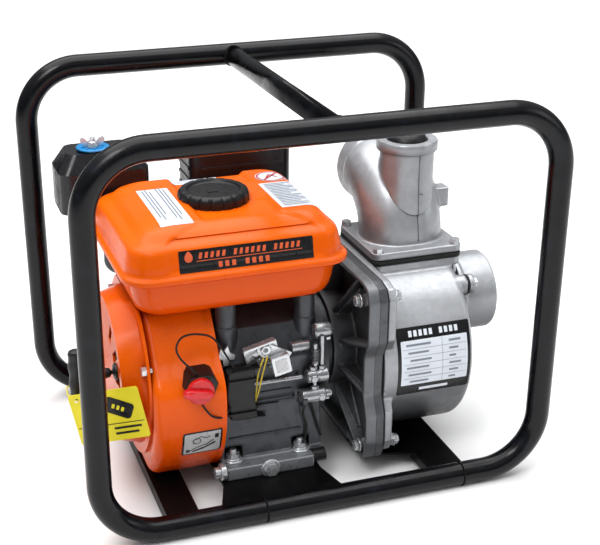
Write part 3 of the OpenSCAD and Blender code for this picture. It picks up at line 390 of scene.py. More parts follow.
def upright(u, v, w):
    """Places an outline level: u and v are x and y, and w is the height."""
    return u, v, w


def slab(outline, place, low, high):
    """A flat outline thickened from low to high: place maps (u, v, w) to a point."""
    return skin([[place(u, v, w) for u, v in outline] for w in (low, high)])


def tree_of(*objects):
    """A search tree over the final meshes of these objects, in metres."""
    dg = bpy.context.evaluated_depsgraph_get()
    verts, faces = [], []
    for o in objects:
        e = o.evaluated_get(dg)
        m = e.to_mesh()
        base = len(verts)
        verts += [e.matrix_world @ v.co for v in m.vertices]
        faces += [[base + i for i in f.vertices] for f in m.polygons]
        e.to_mesh_clear()
    return BVHTree.FromPolygons(verts, faces)


def cast_copy(node, name, material, voxel=1.3, rounds=4, body="base"):
    """A cast look for a CAD node: the same solid remeshed, so that its inner corners get fillets."""
    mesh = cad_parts[node].data.copy()
    if "custom_normal" in mesh.attributes:
        mesh.attributes.remove(mesh.attributes["custom_normal"])
    b = bmesh.new()
    b.from_mesh(mesh)
    bmesh.ops.remove_doubles(b, verts=b.verts, dist=1e-5)
    b.to_mesh(mesh)
    b.free()
    o = put(name, mesh)
    remesh = o.modifiers.new("remesh", "REMESH")
    remesh.mode = "VOXEL"
    remesh.voxel_size = voxel * MM * 1
    remesh.use_smooth_shade = True
    relax = o.modifiers.new("relax", "SMOOTH")
    relax.factor = 0.5
    relax.iterations = rounds
    dg = bpy.context.evaluated_depsgraph_get()
    final = bpy.data.meshes.new_from_object(o.evaluated_get(dg))
    o.modifiers.clear()
    o.data = final
    final.materials.clear()
    final.materials.append(material)
    final.polygons.foreach_set("use_smooth", [True] * len(final.polygons))
    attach(o, body)
    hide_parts(node)
    return o


# ---------------------------------------------------------------- drawings laid on surfaces


def box_shape(u0, v0, u1, v1, r=0.0):
    """A rectangle between two corners, with round corners where r is given."""
    if r:
        return rounded_rect((u0 + u1) / 2, (v0 + v1) / 2, (u1 - u0) / 2, (v1 - v0) / 2, r, 4)
    return [(u0, v0), (u1, v0), (u1, v1), (u0, v1)]


def disc_shape(u, v, r, n=28):
    return [(u + r * cos(tau * k / n), v + r * sin(tau * k / n)) for k in range(n)]


def stroke(points, w):
    """Thick line as separate quads."""
    out = []
    for (a, b), (c, d) in zip(points, points[1:]):
        n = hypot(c - a, d - b) or 1
        x, y = -(d - b) / n * w / 2, (c - a) / n * w / 2
        out.append([(a + x, b + y), (a - x, b - y), (c - x, d - y), (c + x, d + y)])
    return out


def ring_shape(u, v, r, w, n=28):
    return stroke([(u + r * cos(tau * k / n), v + r * sin(tau * k / n)) for k in range(n + 1)], w)


class Drawing:
    """Flat shapes in (u, v) millimetres, laid on the surface behind the drawing's plane."""

    def __init__(self, name, at, u, v, on, body="base", reach=60, step=4.0):
        self.name, self.at, self.body = name, Vector(at), body
        self.u, self.v = Vector(u).normalized(), Vector(v).normalized()
        self.out = self.u.cross(self.v).normalized()
        self.tree, self.reach, self.step, self.level = on, reach, step, 0

    def lay(self, name, shapes, material):
        b = bmesh.new()
        for shape in shapes:
            corners = [b.verts.new((p[0], p[1], 0)) for p in shape]
            b.faces.new(corners)
        bmesh.ops.triangulate(b, faces=b.faces)
        for _ in range(6):
            long = [e for e in b.edges if e.calc_length() > self.step]
            if not long:
                break
            bmesh.ops.subdivide_edges(b, edges=long, cuts=1)
            bmesh.ops.triangulate(b, faces=[f for f in b.faces if len(f.verts) > 3])
        lift = 0.25 + 0.14 * self.level
        for vert in b.verts:
            p = self.at + self.u * vert.co.x + self.v * vert.co.y
            hit, normal, _, _ = self.tree.ray_cast((p + self.out * self.reach) * MM, -self.out,
                                                   2 * self.reach * MM)
            if hit is None:
                vert.co = p * MM
            else:
                if normal.dot(self.out) < 0:
                    normal = -normal
                vert.co = hit + normal * lift * MM
        mesh = bpy.data.meshes.new(f"{self.name}_{name}")
        b.to_mesh(mesh)
        b.free()
        for f in mesh.polygons:
            f.use_smooth = True
        mesh.materials.append(material)
        o = put(f"{self.name}_{name}", mesh)
        if mesh.polygons and sum((f.normal * f.area for f in mesh.polygons), Vector()).dot(self.out) < 0:
            mesh.flip_normals()
        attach(o, self.body)
        self.level += 1


# ---------------------------------------------------------------- frame


def bead(path, r=2.0, seed=1.0):
    """A welded bead: a bar with ripples along the path."""
    pts = smooth_path(path, 5)
    return rod(pts, lambda s: r * (0.82 + 0.18 * sin(s * len(pts) * 2.1 + seed)), 8)


def frame_pieces():
    for node in ("frame_loop_front", "frame_loop_rear", "lifting_tube"):
        dress(node, BLACK_TUBE, 0)
    for node in ("cross_plate_left", "cross_plate_right", "engine_base_plate"):
        dress(node, BLACK_PLATE, 0.7)
    lift_lo, lift_hi = span("lifting_tube")
    lift = middle("lifting_tube")
    lift_r = (lift_hi.x - lift_lo.x) / 2
    beads = []
    for node, side in (("frame_loop_front", 1), ("frame_loop_rear", -1)):
        lo, hi = span(node)
        tube_r = (hi.y - lo.y) / 2
        mid_y, mid_z = (lo.y + hi.y) / 2, hi.z - tube_r
        saddle = []
        for k in range(25):
            t = tau * k / 24
            z = lift.z + lift_r * sin(t)
            reach = sqrt(max(0, tube_r ** 2 - (z - mid_z) ** 2))
            saddle.append((lift.x + lift_r * cos(t), mid_y + side * reach, z))
        beads.append(bead(saddle, 2.1, side))
        for plate in ("cross_plate_left", "cross_plate_right", "engine_base_plate"):
            p_lo, p_hi = span(plate)
            top = min(p_hi.z, lo.z + 2 * tube_r) - 1.5
            y = mid_y + side * sqrt(max(1, tube_r ** 2 - (top - lo.z - tube_r) ** 2))
            wide = p_hi.x - p_lo.x
            x1 = p_hi.x - 3
            x0 = p_lo.x + 3 if plate != "cross_plate_right" else p_hi.x - 38
            n = max(4, int(wide / 8))
            beads.append(bead([(x0 + (x1 - x0) * k / n, y, top) for k in range(n + 1)], 1.9, side + k))
    lo, hi = span("frame_loop_front")
    tube_r = (hi.y - lo.y) / 2
    for x in (-71, 153):
        ring = [(x, lo.y + tube_r + (tube_r + 0.2) * cos(tau * k / 32),
                 lo.z + tube_r + (tube_r + 0.2) * sin(tau * k / 32)) for k in range(33)]
        beads.append(bead(ring, 1.2, x))
    piece("weld_beads", *join(beads), BLACK_PLATE, slot="black_tube")


# ---------------------------------------------------------------- fuel tank


def tank_size():
    lo, hi = span("fuel_tank_upper")
    return (lo.x + hi.x) / 2, (lo.y + hi.y) / 2, (hi.x - lo.x) / 2, (hi.y - lo.y) / 2


def step_between(a, b, x):
    """0 before a, 1 past b, and a smooth rise between them."""
    t = max(0.0, min(1.0, (x - a) / (b - a)))
    return t * t * (3 - 2 * t)


def tank_ring(inset, z, shape, tight=1.0):
    """One ring of the tank; past the rim, the back and right walls draw in less, by tight."""
    cx, cy, hx, hy = tank_size()
    rim = 10
    far = inset if inset < rim else rim + (inset - rim) * tight
    outline = rounded_rect(cx + (inset - far) / 2, cy + (inset - far) / 2, hx - (inset + far) / 2,
                           hy - (inset + far) / 2, max(4, 30 - inset * 0.25), 16)
    return [shape(Vector((x, y, z))) for x, y in spread_evenly(outline, 260)]


def tank_upper():
    """The upper half: a raised rim, steep walls, a sloping band and a top with a sunk field."""
    cx, cy, _, hy = tank_size()
    seam = span("fuel_tank_lower")[1].z
    crown = span("fuel_tank_upper")[1].z
    cap = middle("fuel_cap")
    front = cy - hy
    field_y = cap.y - 62
    shoulder = crown - 10

    def shaped(p):
        """Sinks the field round the cap, which widens over the band to the pressed front wall."""
        back = step_between(front + 14, field_y, p.y)
        left = (cx - 75) * (1 - back) + (cap.x - 30) * back
        right = (cx + 87) * (1 - back) + (cap.x + 53) * back
        inside = step_between(left - 3, left + 3, p.x) * (1 - step_between(right - 3, right + 3, p.x))
        p.z -= inside * (1.6 + 2.6 * step_between(field_y - 4, field_y + 4, p.y)) * step_between(
            shoulder - 7, shoulder + 4, p.z)
        if p.y < front + 24:
            p.y += 2.4 * inside * step_between(seam + 4, seam + 8, p.z) * (
                1 - step_between(shoulder, shoulder + 8, p.z))
        return p

    rise = crown - seam
    profile = [(0.4, -1.5), (0, -0.2), (0.5, 1.2), (1.8, 2.0), (3.4, 2.3), (4.6, 3.4), (5.2, 6),
               (5.8, 12), (7.4, 19), (8.6, 24.2), (9.4, 26.4), (11, 28.6), (14, 30.2), (21, 33),
               (29, rise - 5), (36, rise - 2.2), (41, rise - 0.7), (46, rise), (95, rise)]
    fine = []
    for (a, z0), (b, z1) in zip(profile, profile[1:]):
        n = max(1, int(hypot(b - a, z1 - z0) / 2.2))
        fine += [(a + (b - a) * k / n, z0 + (z1 - z0) * k / n) for k in range(n)]
    fine.append(profile[-1])
    rings = [tank_ring(a, seam + z, shaped, 0.6) for a, z in fine]
    verts, faces = skin(rings, start=False)
    o = piece("tank_top_shell", verts, faces, ORANGE, slot="orange_paint", angle=50)
    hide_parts("fuel_tank_upper")
    return o


def tank_lower():
    seam = span("fuel_tank_lower")[1].z
    floor = span("fuel_tank_lower")[0].z
    drop = seam - floor
    profile = [(0.4, -1.4), (0.1, -2.6), (0.4, -4.2), (1.6, -5.2), (4, -5.4), (7.6, -5.6),
               (9.6, -6.6), (10.6, -10), (11.6, -17),
               (12.8, -26), (14.3, -33), (16.5, -38.5), (20, -42.6), (25, -45.2), (31, 0.4 - drop),
               (40, 0.1 - drop), (60, -drop), (90, -drop)]
    rings = [tank_ring(a, seam + z, lambda p: p) for a, z in profile]
    verts, faces = skin(rings, start=False)
    o = piece("tank_bottom_shell", verts, faces, ORANGE, slot="orange_paint", angle=50)
    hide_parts("fuel_tank_lower")


def fuel_cap():
    lo, hi = span("fuel_cap")
    at = ((lo.x + hi.x) / 2, (lo.y + hi.y) / 2, 0)
    r = (hi.x - lo.x) / 2
    top = hi.z
    base = span("fuel_tank_lower")[1].z + 33.6

    def grip(t, i):
        return 1 - (0.045 * max(0.0, cos(18 * t)) ** 3 if 1 <= i <= 6 else 0)

    profile = [(r - 5, base), (r - 1, base + 1), (r, base + 3), (r, top - 6), (r - 0.6, top - 3.6),
               (r - 2, top - 1.6), (r - 4, top - 0.4), (r - 6.5, top), (r - 9, top - 0.6),
               (r - 10, top - 2.4), (r - 11, top - 3.2), (r - 14, top - 3.4), (12, top - 2.8),
               (6, top - 2.6)]
    o = piece("cap_body", *turned(profile, at, Z, 216, grip), BLACK_PLASTIC, "tank_cap", "black_plastic")
    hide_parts("fuel_cap")
    x, y, _ = at
    mark = [slab(rounded_rect(x - 2, y - 4, 6, 3.2, 1), upright, top - 3, top - 1.9)]
    mark += [slab(rounded_rect(x + 16 * cos(a), y + 16 * sin(a), 1.6, 1.6, 0.8), upright,
                  top - 3.8, top - 2.6) for a in (0.4, 1.6, 2.9, 4.1, 5.4)]
    piece("cap_marks", *join(mark), BLACK_PLASTIC, "tank_cap", "black_plastic", edge=0.3)


def tank_labels(shell):
    tree = tree_of(shell)
    cx, cy, _, hy = tank_size()
    seam = span("fuel_tank_lower")[1].z
    top = seam + 38
    cap = middle("fuel_cap")
    left = Drawing("left_label", (cx - 56.5, cap.y - 12, top), X, Y, tree)
    left.lay("sheet", [box_shape(-17, -60, 17, 52, 1.5)], PAPER)
    rows = [(-12, 30), (-8.4, 34), (-4.8, 26), (3.5, 33), (7.1, 36), (10.7, 29)]
    left.lay("lines", [box_shape(u, 22 - 2 * w + k % 2, u + 1.5, 22 + w * 0.9)
                       for k, (u, w) in enumerate(rows)], INK_GREY)
    right = Drawing("right_label", (cx + 77, cap.y - 22, top), X, Y, tree)
    right.lay("sheet", [box_shape(-19, -38, 20, 43, 1.5)], PAPER)
    right.lay("round", [disc_shape(2, 64, 17)], PAPER)
    right.lay("rim", ring_shape(2, 64, 15, 2), INK_RED)
    right.lay("sign", [*stroke([(-8, 54), (12, 74)], 2.4), *stroke([(-4, 60), (2, 70), (8, 60)], 2)],
              INK_RED)
    right.lay("lines", [box_shape(-15, y, -15 + w, y + 1.3) for y, w in zip(range(-33, 40, 5),
              (26, 30, 22, 28, 31, 25, 29, 20, 27, 30, 24, 28, 31, 22, 29))], INK_GREY)
    back = Drawing("back_label", (cap.x - 4, cap.y + 70, top), X, Y, tree)
    back.lay("sheet", [box_shape(-27, -12, 27, 12, 1.5)], PAPER)
    back.lay("lines", [box_shape(-22, y, w, y + 1.2) for y, w in ((-8, 18), (-3, 20), (2, 12), (7, 19))],
             INK_GREY)
    panel = Drawing("front_panel", (cx + 6, cy - hy, seam + 15.4), X, Z, tree, step=3)
    panel.lay("sheet", [box_shape(-70, -10.8, 70, 10.8, 1)], INK)
    drop = [(-60 + 4.2 * sin(t), 3.4 - 4.2 * cos(t) + 2.2 * max(0, -cos(t)) ** 3)
            for t in [tau * k / 24 for k in range(24)]]
    slant = [[(-50 + 6 * k, 1.8), (-46.8 + 6 * k, 1.8), (-45.6 + 6 * k, 7.6), (-48.8 + 6 * k, 7.6)]
             for k in range(18) if k % 7 != 5]
    blocks = [box_shape(-30 + 7 * k, -8.6, -26 + 7 * k, -3) for k in range(8) if k != 3]
    panel.lay("marks", [drop, box_shape(-52, -0.8, 58, -0.1), *slant, *blocks], INK_ORANGE)


# ---------------------------------------------------------------- fan housing and starter


def fan_shroud():
    """The pressed shell, with its outline read from the CAD solid by rays from the shaft."""
    axis = middle("flywheel")
    lo, hi = span("fan_shroud")
    tree = tree_of(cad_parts["fan_shroud"])
    n = 240
    radii = []
    for k in range(n):
        t = tau * k / n
        out = Vector((0, cos(t), sin(t)))
        start = Vector((lo.x + 40, axis.y, axis.z)) * MM
        hit = tree.ray_cast(start + out * 0.3, -out, 0.3)[0]
        radii.append((hit - start).length / MM)
    for _ in range(5):
        radii = [(radii[k - 1] + 2 * radii[k] + radii[(k + 1) % n]) / 4 for k in range(n)]
    big, opening = 11, 84

    def ring(x, inset, fixed=None):
        out = []
        for k in range(n):
            r = fixed or radii[k] - inset
            out.append((x, axis.y + r * cos(tau * k / n), axis.z + r * sin(tau * k / n)))
        return out

    rings = [ring(hi.x, 0), ring(hi.x - 1, 0), ring(hi.x - 3, 0.9), ring(hi.x - 7, 1.0),
             ring(hi.x - 9, 0.2), ring((lo.x + hi.x) / 2, 0), ring(lo.x + big, 0)]
    for a in range(10, 91, 10):
        c, s = cos(radians(a)), sin(radians(a))
        rings.append(ring(lo.x + big * (1 - s), big * (1 - c)))
    rings += [ring(lo.x, 0, opening + 1), ring(lo.x + 1, 0, opening), ring(lo.x + 3, 0, opening),
              ring(lo.x + 3, big + 2), ring(lo.x + big, 3), ring(hi.x - 3, 3), ring(hi.x - 3, 0, 80),
              ring(hi.x, 0, 80), ring(hi.x, 0)]
    verts, faces = skin(rings, False, False)
    o = piece("shroud_shell", verts, faces, ORANGE, slot="orange_paint", angle=50)
    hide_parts("fan_shroud")
    return o


def shroud_label(shell):
    body = span("fan_shroud")
    tree = tree_of(shell)
    at = Vector(((body[0].x + body[1].x) / 2 + 12, body[0].y, body[0].z + 51))
    tilt = Vector((0, -0.28, 0.96))
    d = Drawing("shroud_label", at, X, tilt, tree, step=4)
    d.lay("border", [box_shape(-21.5, -17, 21.5, 17, 3)], INK)
    d.lay("sheet", [box_shape(-19.5, -15, 19.5, 15, 2)], SILVER)
    bits = []
    bits += stroke([(-14, -11), (-4, -5), (4, -3), (12, 3)], 1.3)
    bits += stroke([(-10, -12), (2, -8), (14, -1)], 2.4)
    bits += stroke([(-8, 6), (-2, 10), (4, 7), (8, 9)], 1.0)
    bits += ring_shape(-6, 4, 4, 0.9, 14)
    bits += [box_shape(-17, -13, -13, -8), box_shape(13, 5, 17, 11)]
    d.lay("marks", bits, INK)


def starter():
    dress("recoil_housing", ORANGE, 1.2, 30)
    dress("recoil_reel", BLACK_PLASTIC, 0.4)
    lo, hi = span("starter_grip")
    rope_z = lo.z + (hi.z - lo.z) * 26 / 58
    grip_x = lo.x + 8.5
    y = (lo.y + hi.y) / 2
    rings = []
    steps = 30
    for k in range(steps + 1):
        s = k / steps
        z = lo.z + 0.5 + (hi.z - lo.z - 1) * s
        end = sqrt(max(0.0, 1 - max(0.0, abs(2 * s - 1) - 0.78) ** 2 / 0.22 ** 2))
        wave = 1 + 0.07 * cos(s * 3 * tau)
        rings.append([(grip_x + 8.3 * (0.35 + 0.65 * end) * wave * cos(t),
                       y + 7.2 * (0.35 + 0.65 * end) * wave * sin(t), z)
                      for t in [tau * i / 28 for i in range(28)]])
    neck = turned([(8, 0), (7.6, 6), (6.2, 14), (5.2, 22), (5.6, 26), (5.2, 33), (3.4, 35)],
                  (grip_x, y, rope_z), X, 28)
    ribs = [turned([(6.9 - 0.5 * i, 0), (7.3 - 0.5 * i, 0.8), (6.9 - 0.5 * i, 1.6)],
                   (grip_x + 9 + 5 * i, y, rope_z), X, 28) for i in range(3)]
    o = piece("pull_grip", *join([skin(rings), neck, *ribs]), BLACK_PLASTIC, "grip", "black_plastic")
    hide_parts("starter_grip")
    return y, rope_z, grip_x


def rope_and_guide(y, rope_z, grip_x):
    x_face = span("recoil_housing")[0].x
    guide = turned([(4.2, 1), (8.6, 0.8), (9.2, -0.4), (8.4, -2.4), (6.4, -3.2), (4.6, -2.4), (4.1, 0)],
                   (x_face, y, rope_z), X, 36)
    piece("rope_guide", *guide, BLACK_PLASTIC, slot="black_plastic")
    start, end = grip_x + 33, x_face + 4
    turns = int((end - start) * 2.4)
    path = [(start + (end - start) * k / turns, y, rope_z) for k in range(turns + 1)]

    def braid(k):
        """Two strand shape of the rope, turning along it."""
        return 2.1 + 0.22 * sin(k * turns * 1.7)

    verts, faces = rod(path, braid, 14)
    o = piece("pull_rope", verts, faces, RUBBER, None, "rubber")
    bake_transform(o)


def hang_tag():
    dress("hang_tag", YELLOW, 0)
    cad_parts["hang_tag"].modifiers.clear()
    tree = tree_of(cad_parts["hang_tag"])
    turn = Matrix.Rotation(radians(-24), 3, "Z") @ Matrix.Rotation(radians(90), 3, "X")
    turn = turn @ Matrix.Rotation(radians(12), 3, "Z")
    u, v = turn @ X, turn @ Y
    at = Vector((-218, -113, 118))
    d = Drawing("tag_print", at, u, v, tree, "grip", 12, 6)
    lean = -0.5

    def leaning(points):
        """Points of the drum, turned by its lean and moved to its place on the tag."""
        return [(12 + a * cos(lean) - b * sin(lean), 8 + a * sin(lean) + b * cos(lean)) for a, b in points]

    d.lay("drum", [leaning(rounded_rect(0, 0, 15, 9, 4, 5))], INK)
    d.lay("rule", [box_shape(-35, -10, 35, -9.2), box_shape(2, -16, 31, -13.6), box_shape(2, -22, 27, -19.6),
                   box_shape(-30, -16, -12, -13.6)], INK)
    d.lay("drum_mark", [leaning(box_shape(-7 + 5 * k, -2.6, -4 + 5 * k, 2.6, 1.0)) for k in range(3)],
          YELLOW)


# ---------------------------------------------------------------- small parts of the engine


def switch():
    lo, hi = span("switch_knob")
    base_lo, base_hi = span("switch_body")
    x, z = (base_lo.x + base_hi.x) / 2 - 2.5, (base_lo.z + base_hi.z) / 2
    plan = [(-15, 0), (-10, -10), (-6, -12), (12, -12), (17, -9), (21, 2), (17, 11), (12, 13), (-6, 13),
            (-10, 10)]
    rings = [[(x + u * k, y, z + v * k) for u, v in plan]
             for k, y in ((1.08, base_hi.y), (1.0, base_lo.y + 8), (1.0, base_lo.y + 2.5),
                          (0.94, base_lo.y))]
    o = piece("switch_base", *skin(rings), BLACK_PLASTIC, slot="black_plastic", edge=0.8)
    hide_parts("switch_body")
    disc_x = hi.x - 14
    z = (lo.z + hi.z) / 2
    front, back = lo.y, hi.y
    body = turned([(5, back - front), (5, 14.5), (13, 14.2), (14, 13), (14, 8.4), (13, 6.9), (10, 6.4),
                   (4, 6.2)], (disc_x, front, z), Y, 48)
    outline = [(-19.5, -1.2), (-18.6, -3.4), (-14, -5), (-4, -4.4), (6, -4), (11, -2.6), (12.4, 0),
               (11, 2.6), (6, 4), (-4, 4.4), (-14, 5), (-18.6, 3.4), (-19.5, 1.2)]
    tilt = radians(-8)

    def place(s):
        return lambda u, v, w: (disc_x + (u * cos(tilt) - v * sin(tilt)) * s, front + w,
                                z + (u * sin(tilt) + v * cos(tilt)) * s)

    bar = skin([[place(s)(u, v, w) for u, v in outline] for s, w in
                ((0.8, 0.2), (0.93, 0.9), (1.0, 2.6), (1.0, 7.5))])
    o = piece("knob_body", *join([body, bar]), RED, "switch", "red_plastic", angle=45)
    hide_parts("switch_knob")


def spring(a, b, r, wire, turns):
    """A coil spring between two points."""
    a, b = Vector(a), Vector(b)
    side, up, _ = axes_for(b - a)
    n = turns * 12
    path = [a + (b - a) * k / n + side * r * cos(tau * k / 12) + up * r * sin(tau * k / 12)
            for k in range(n + 1)]
    return rod(path, wire, 6)


def controls():
    dress("throttle_lever", ZINC, 0.6)
    plate_lo, plate_hi = span("control_bracket")
    front = plate_lo.y
    x, z = (plate_lo.x + plate_hi.x) / 2, plate_hi.z

    def tilted(u0, v0, u1, v1, r, y0, y1, at, turn):
        turn = radians(turn)
        return slab(box_shape(u0, v0, u1, v1, r),
                    lambda u, v, w: (at[0] + u * cos(turn) - v * sin(turn), w,
                                     at[1] + u * sin(turn) + v * cos(turn)), y0, y1)

    plate = tilted(-20, -11, 17, 11, 4, front, front + 2.2, (x - 1, z - 12), 14)
    top_lip = tilted(-20, 9.5, 15, 12, 1, front - 7, front + 2, (x - 1, z - 12), 14)
    arm = tilted(-5, -14, 7, 6, 3, front + 0.6, front + 2.6, (x + 12, z - 20), 0)
    stay = slab(box_shape(x + 8, z - 34, x + 18, z - 26), lambda u, v, w: (u, w, v), front + 2, -106)
    bolt = turned([(8.5, 0), (8.5, 1.2), (6.3, 1.4), (6.3, 5), (5.2, 6)], (x + 1, front, z - 8), -Y, 6)
    ring = turned([(8.8, -0.5), (8.8, 1.0), (4, 1.0)], (x + 1, front, z - 8), -Y, 32)
    o = piece("bracket_plate", *join([plate, top_lip, arm, stay, bolt, ring]), ZINC, slot="zinc",
              edge=0.5)
    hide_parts("control_bracket")
    square = tilted(-10, -11, 10, 11, 1.5, front - 12, front - 1, (x + 16, z - 25), 12)
    piece("bracket_block", *square, ZINC, slot="zinc", edge=1.0)
    line_face = tilted(-6.5, -7.5, 6.5, 7.5, 2, front - 12.6, front - 11, (x + 16, z - 25), 12)
    piece("bracket_block_face", *line_face, SILVER, slot="zinc", edge=0.5)

    lo, hi = span("oil_alert_unit")
    centre = (lo.x + hi.x) / 2 - 2
    rings = []
    for k, z in ((0.86, lo.z), (1, lo.z + 2), (1.04, lo.z + 30), (1, hi.z - 2), (0.9, hi.z)):
        lean = (z - lo.z) * 0.05
        rings.append([((centre + u) * k - lean, (lo.y + hi.y) / 2 - 3 + v * k, z)
                      for u, v in rounded_rect(0, 0, 15, 7.5, 3, 4)])
    body = skin(rings)
    ribs = [slab(rounded_rect(centre - 3, lo.y + 2.5, 16.2, 8, 3, 4), upright,
                 z, z + 2.2) for z in (lo.z + 8, lo.z + 46)]
    o = piece("alert_case", *join([body, *ribs]), BLACK_PLASTIC, slot="black_plastic", edge=0.8)
    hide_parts("oil_alert_unit")

    lo, hi = span("governor_arm")
    y = (lo.y + hi.y) / 2
    shaft_z, clamp_z, top_z = lo.z + 9, 129, 166
    rod_x, side_x = lo.x + 16, lo.x + 24
    bits = [turned([(6.5, 0), (8, 1.4), (8, 26), (6.6, 27.5), (5.2, 27.6), (5.2, 33), (4, 35)],
                   (lo.x, y, shaft_z), X, 40),
            turned([(6.2, 0), (7.6, 1.2), (7.6, 10), (6.6, 11), (6.6, 12.6), (7.6, 13.6), (7.6, 23),
                    (6.4, 24.2)], (lo.x + 6, y, clamp_z), X, 40),
            rod([(rod_x, y, shaft_z), (rod_x, y, clamp_z + 6), (rod_x, y, top_z)], 2.3, 14),
            rod([(side_x, y + 1, clamp_z), (side_x, y + 1, top_z + 8)], 2.6, 14)]
    for at in ((rod_x - 2, clamp_z + 7), (side_x, clamp_z + 7), (rod_x, shaft_z + 7)):
        bits.append(turned([(4.2, 0), (4.6, 0.6), (4.6, 3.6), (4.0, 4.2)], (at[0], y, at[1]), Z, 6))
    for at in ((rod_x - 3, clamp_z - 1), (side_x - 2, shaft_z - 1)):
        bits.append(turned([(4.8, 0), (4.8, 1.2), (3.6, 2.4)], (at[0], y - 6.4, at[1]), -Y, 6))
    o = piece("governor_linkage", *join(bits), STEEL, "governor", "zinc", edge=0.4)
    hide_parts("governor_arm")

    fixed = [rod([(-78, y + 3, 128), (-40, y + 3, 128), (lo.x + 2, y + 3, 128)], 2.6, 14),
             rod([(-70, y + 12, 106), (-20, y + 12, 106)], 1.1, 8),
             turned([(5, 0), (6.4, 1), (6.4, 20), (5, 21)], (lo.x - 8, y + 12, 160), X, 32),
             turned([(7, 0), (8.6, 1.6), (8.6, 17), (6.8, 19.6), (3, 20.6)], (lo.x + 17, y + 10, 176), X, 36)]
    piece("control_rods", *join(fixed), STEEL, slot="zinc")
    brace = [turned([(4.4, 0), (5, 0.8), (5, 45), (4.6, 46)], (9, -70, 157), X, 28),
             turned([(7.6, -1), (8.4, 0), (8.4, 4), (7.4, 5)], (11, -70, 157), X, 6)]
    piece("adapter_stud", *join(brace), STEEL, slot="zinc", edge=0.4)
    return_spring = [spring((-66, y + 2, 158), (-40, y + 2, 150), 2.6, 0.55, 16),
                     spring((rod_x, y - 1, clamp_z + 14), (rod_x, y - 1, top_z - 6), 3.4, 0.6, 9)]
    piece("return_springs", *join(return_spring), STEEL, slot="zinc")


def wires():
    """The switch leads, plug lead, fuel hose and the thin wires on the front, as round tubes."""
    knob = middle("switch_knob")
    unit = middle("oil_alert_unit")
    front = span("switch_body")[0].y
    kx, kz, ux = knob.x, knob.z, unit.x
    leads = [[(kx + 2, front + 4, kz + 12), (kx - 2, front + 1, kz + 20), (kx - 14, front + 5, kz + 33),
              (kx - 17, front + 12, kz + 43), (kx - 8, front + 21, kz + 50),
              (kx + 10, front + 24, kz + 49), (kx + 28, front + 26, kz + 38),
              (ux - 8, unit.y - 4, unit.z + 24)],
             [(kx + 4, front + 4, kz - 10), (kx + 6, front - 1, kz - 20), (kx + 16, front, kz - 34),
              (kx + 30, front + 8, kz - 41), (kx + 42, front + 18, kz - 36),
              (ux - 9, unit.y - 4, unit.z - 18)]]
    plug_lead = [(-40, 124, 121), (-48, 133, 103), (-80, 133, 97), (-114, 117, 101), (-136, 92, 112)]
    hose = [(-121, 30, 216), (-121, 36, 207), (-121, 60, 198.5), (-121, 77, 191), (-121, 86, 191)]
    tubes = [tube(path, 1.1) for path in leads] + [tube(plug_lead, 3, 12), tube(hose, 3.2, 12)]
    o = piece("wires_and_hose", *join(tubes), RUBBER, slot="rubber")
    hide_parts("leads_and_hose")
    bracket = middle("control_bracket")
    thin = [[(bracket.x + 2, unit.y - 4, bracket.z + 2), (bracket.x - 4, unit.y - 6, bracket.z - 16),
             (bracket.x - 8, unit.y - 5, bracket.z - 36), (ux + 10, unit.y - 1, unit.z - 22)],
            [(bracket.x - 2, unit.y - 4, bracket.z + 2), (bracket.x - 9, unit.y - 7, bracket.z - 14),
             (bracket.x - 11, unit.y - 6, bracket.z - 34), (ux + 12, unit.y - 1, unit.z - 20)]]
    piece("yellow_wires", *join([tube(path, 0.8) for path in thin]), YELLOW_WIRE, slot="rubber")
    black = [[(ux - 4, unit.y - 2, unit.z + 26), (ux + 6, unit.y - 6, unit.z + 34),
              (bracket.x - 6, unit.y - 4, bracket.z + 4)],
             [(x, unit.y + 1, z) for x, z in ((-6, 98), (-8, 84), (-4, 66), (-7, 48))],
             [(x, unit.y + 3, z) for x, z in ((0, 98), (3, 88), (8, 70), (13, 52))]]
    piece("black_wires", *join([tube(path, 1.4) for path in black]), RUBBER, slot="rubber")
    clip = slab([(-9, -3), (-6, 8), (-2, 4), (2, 9), (5, 0), (11, -4), (10, -9), (4, -8), (2, -14), (-3, -13),
                 (-4, -6)], lambda u, v, w: (-92 + u, -108 + 0.3 * u + w, 166 + v), -1.2, 1.2)
    piece("wire_clip", *clip, ZINC, slot="zinc", edge=0.5)


# ---------------------------------------------------------------- pump


def nameplate():
    lo, hi = span("pump_casing")
    tree = tree_of(bpy.data.objects["casing_shell"])
    barrel = middle("volute")
    at = Vector((hi.x - 57, lo.y - 2, barrel.z + 2))
    d = Drawing("pump_plate", at, X, Z, tree, reach=80, step=4)
    d.lay("sheet", [box_shape(-43, -37, 43, 38, 2)], INK)
    d.lay("panel", [box_shape(-39, -25, 39, 25, 1)], PAPER)
    title = [box_shape(-29 + 6 * k, 28.5, -25.2 + 6 * k, 34.5) for k in range(10) if k != 5]
    title += [box_shape(-17, -33, 17, -29.6)]
    d.lay("title", title, PAPER)
    table = []
    for k in range(6):
        v = 19 - 8.2 * k
        table += [box_shape(-33 + 2 * (k % 3), v, -4 - 3 * (k % 2), v + 2.2)]
        table += [box_shape(17, v, 31 - 3 * (k % 3), v + 2.2)]
        if k:
            table += [box_shape(-37, v + 4.9, 37, v + 5.3)]
    table.append(box_shape(9, -24, 9.4, 24))
    d.lay("table", table, INK_GREY)


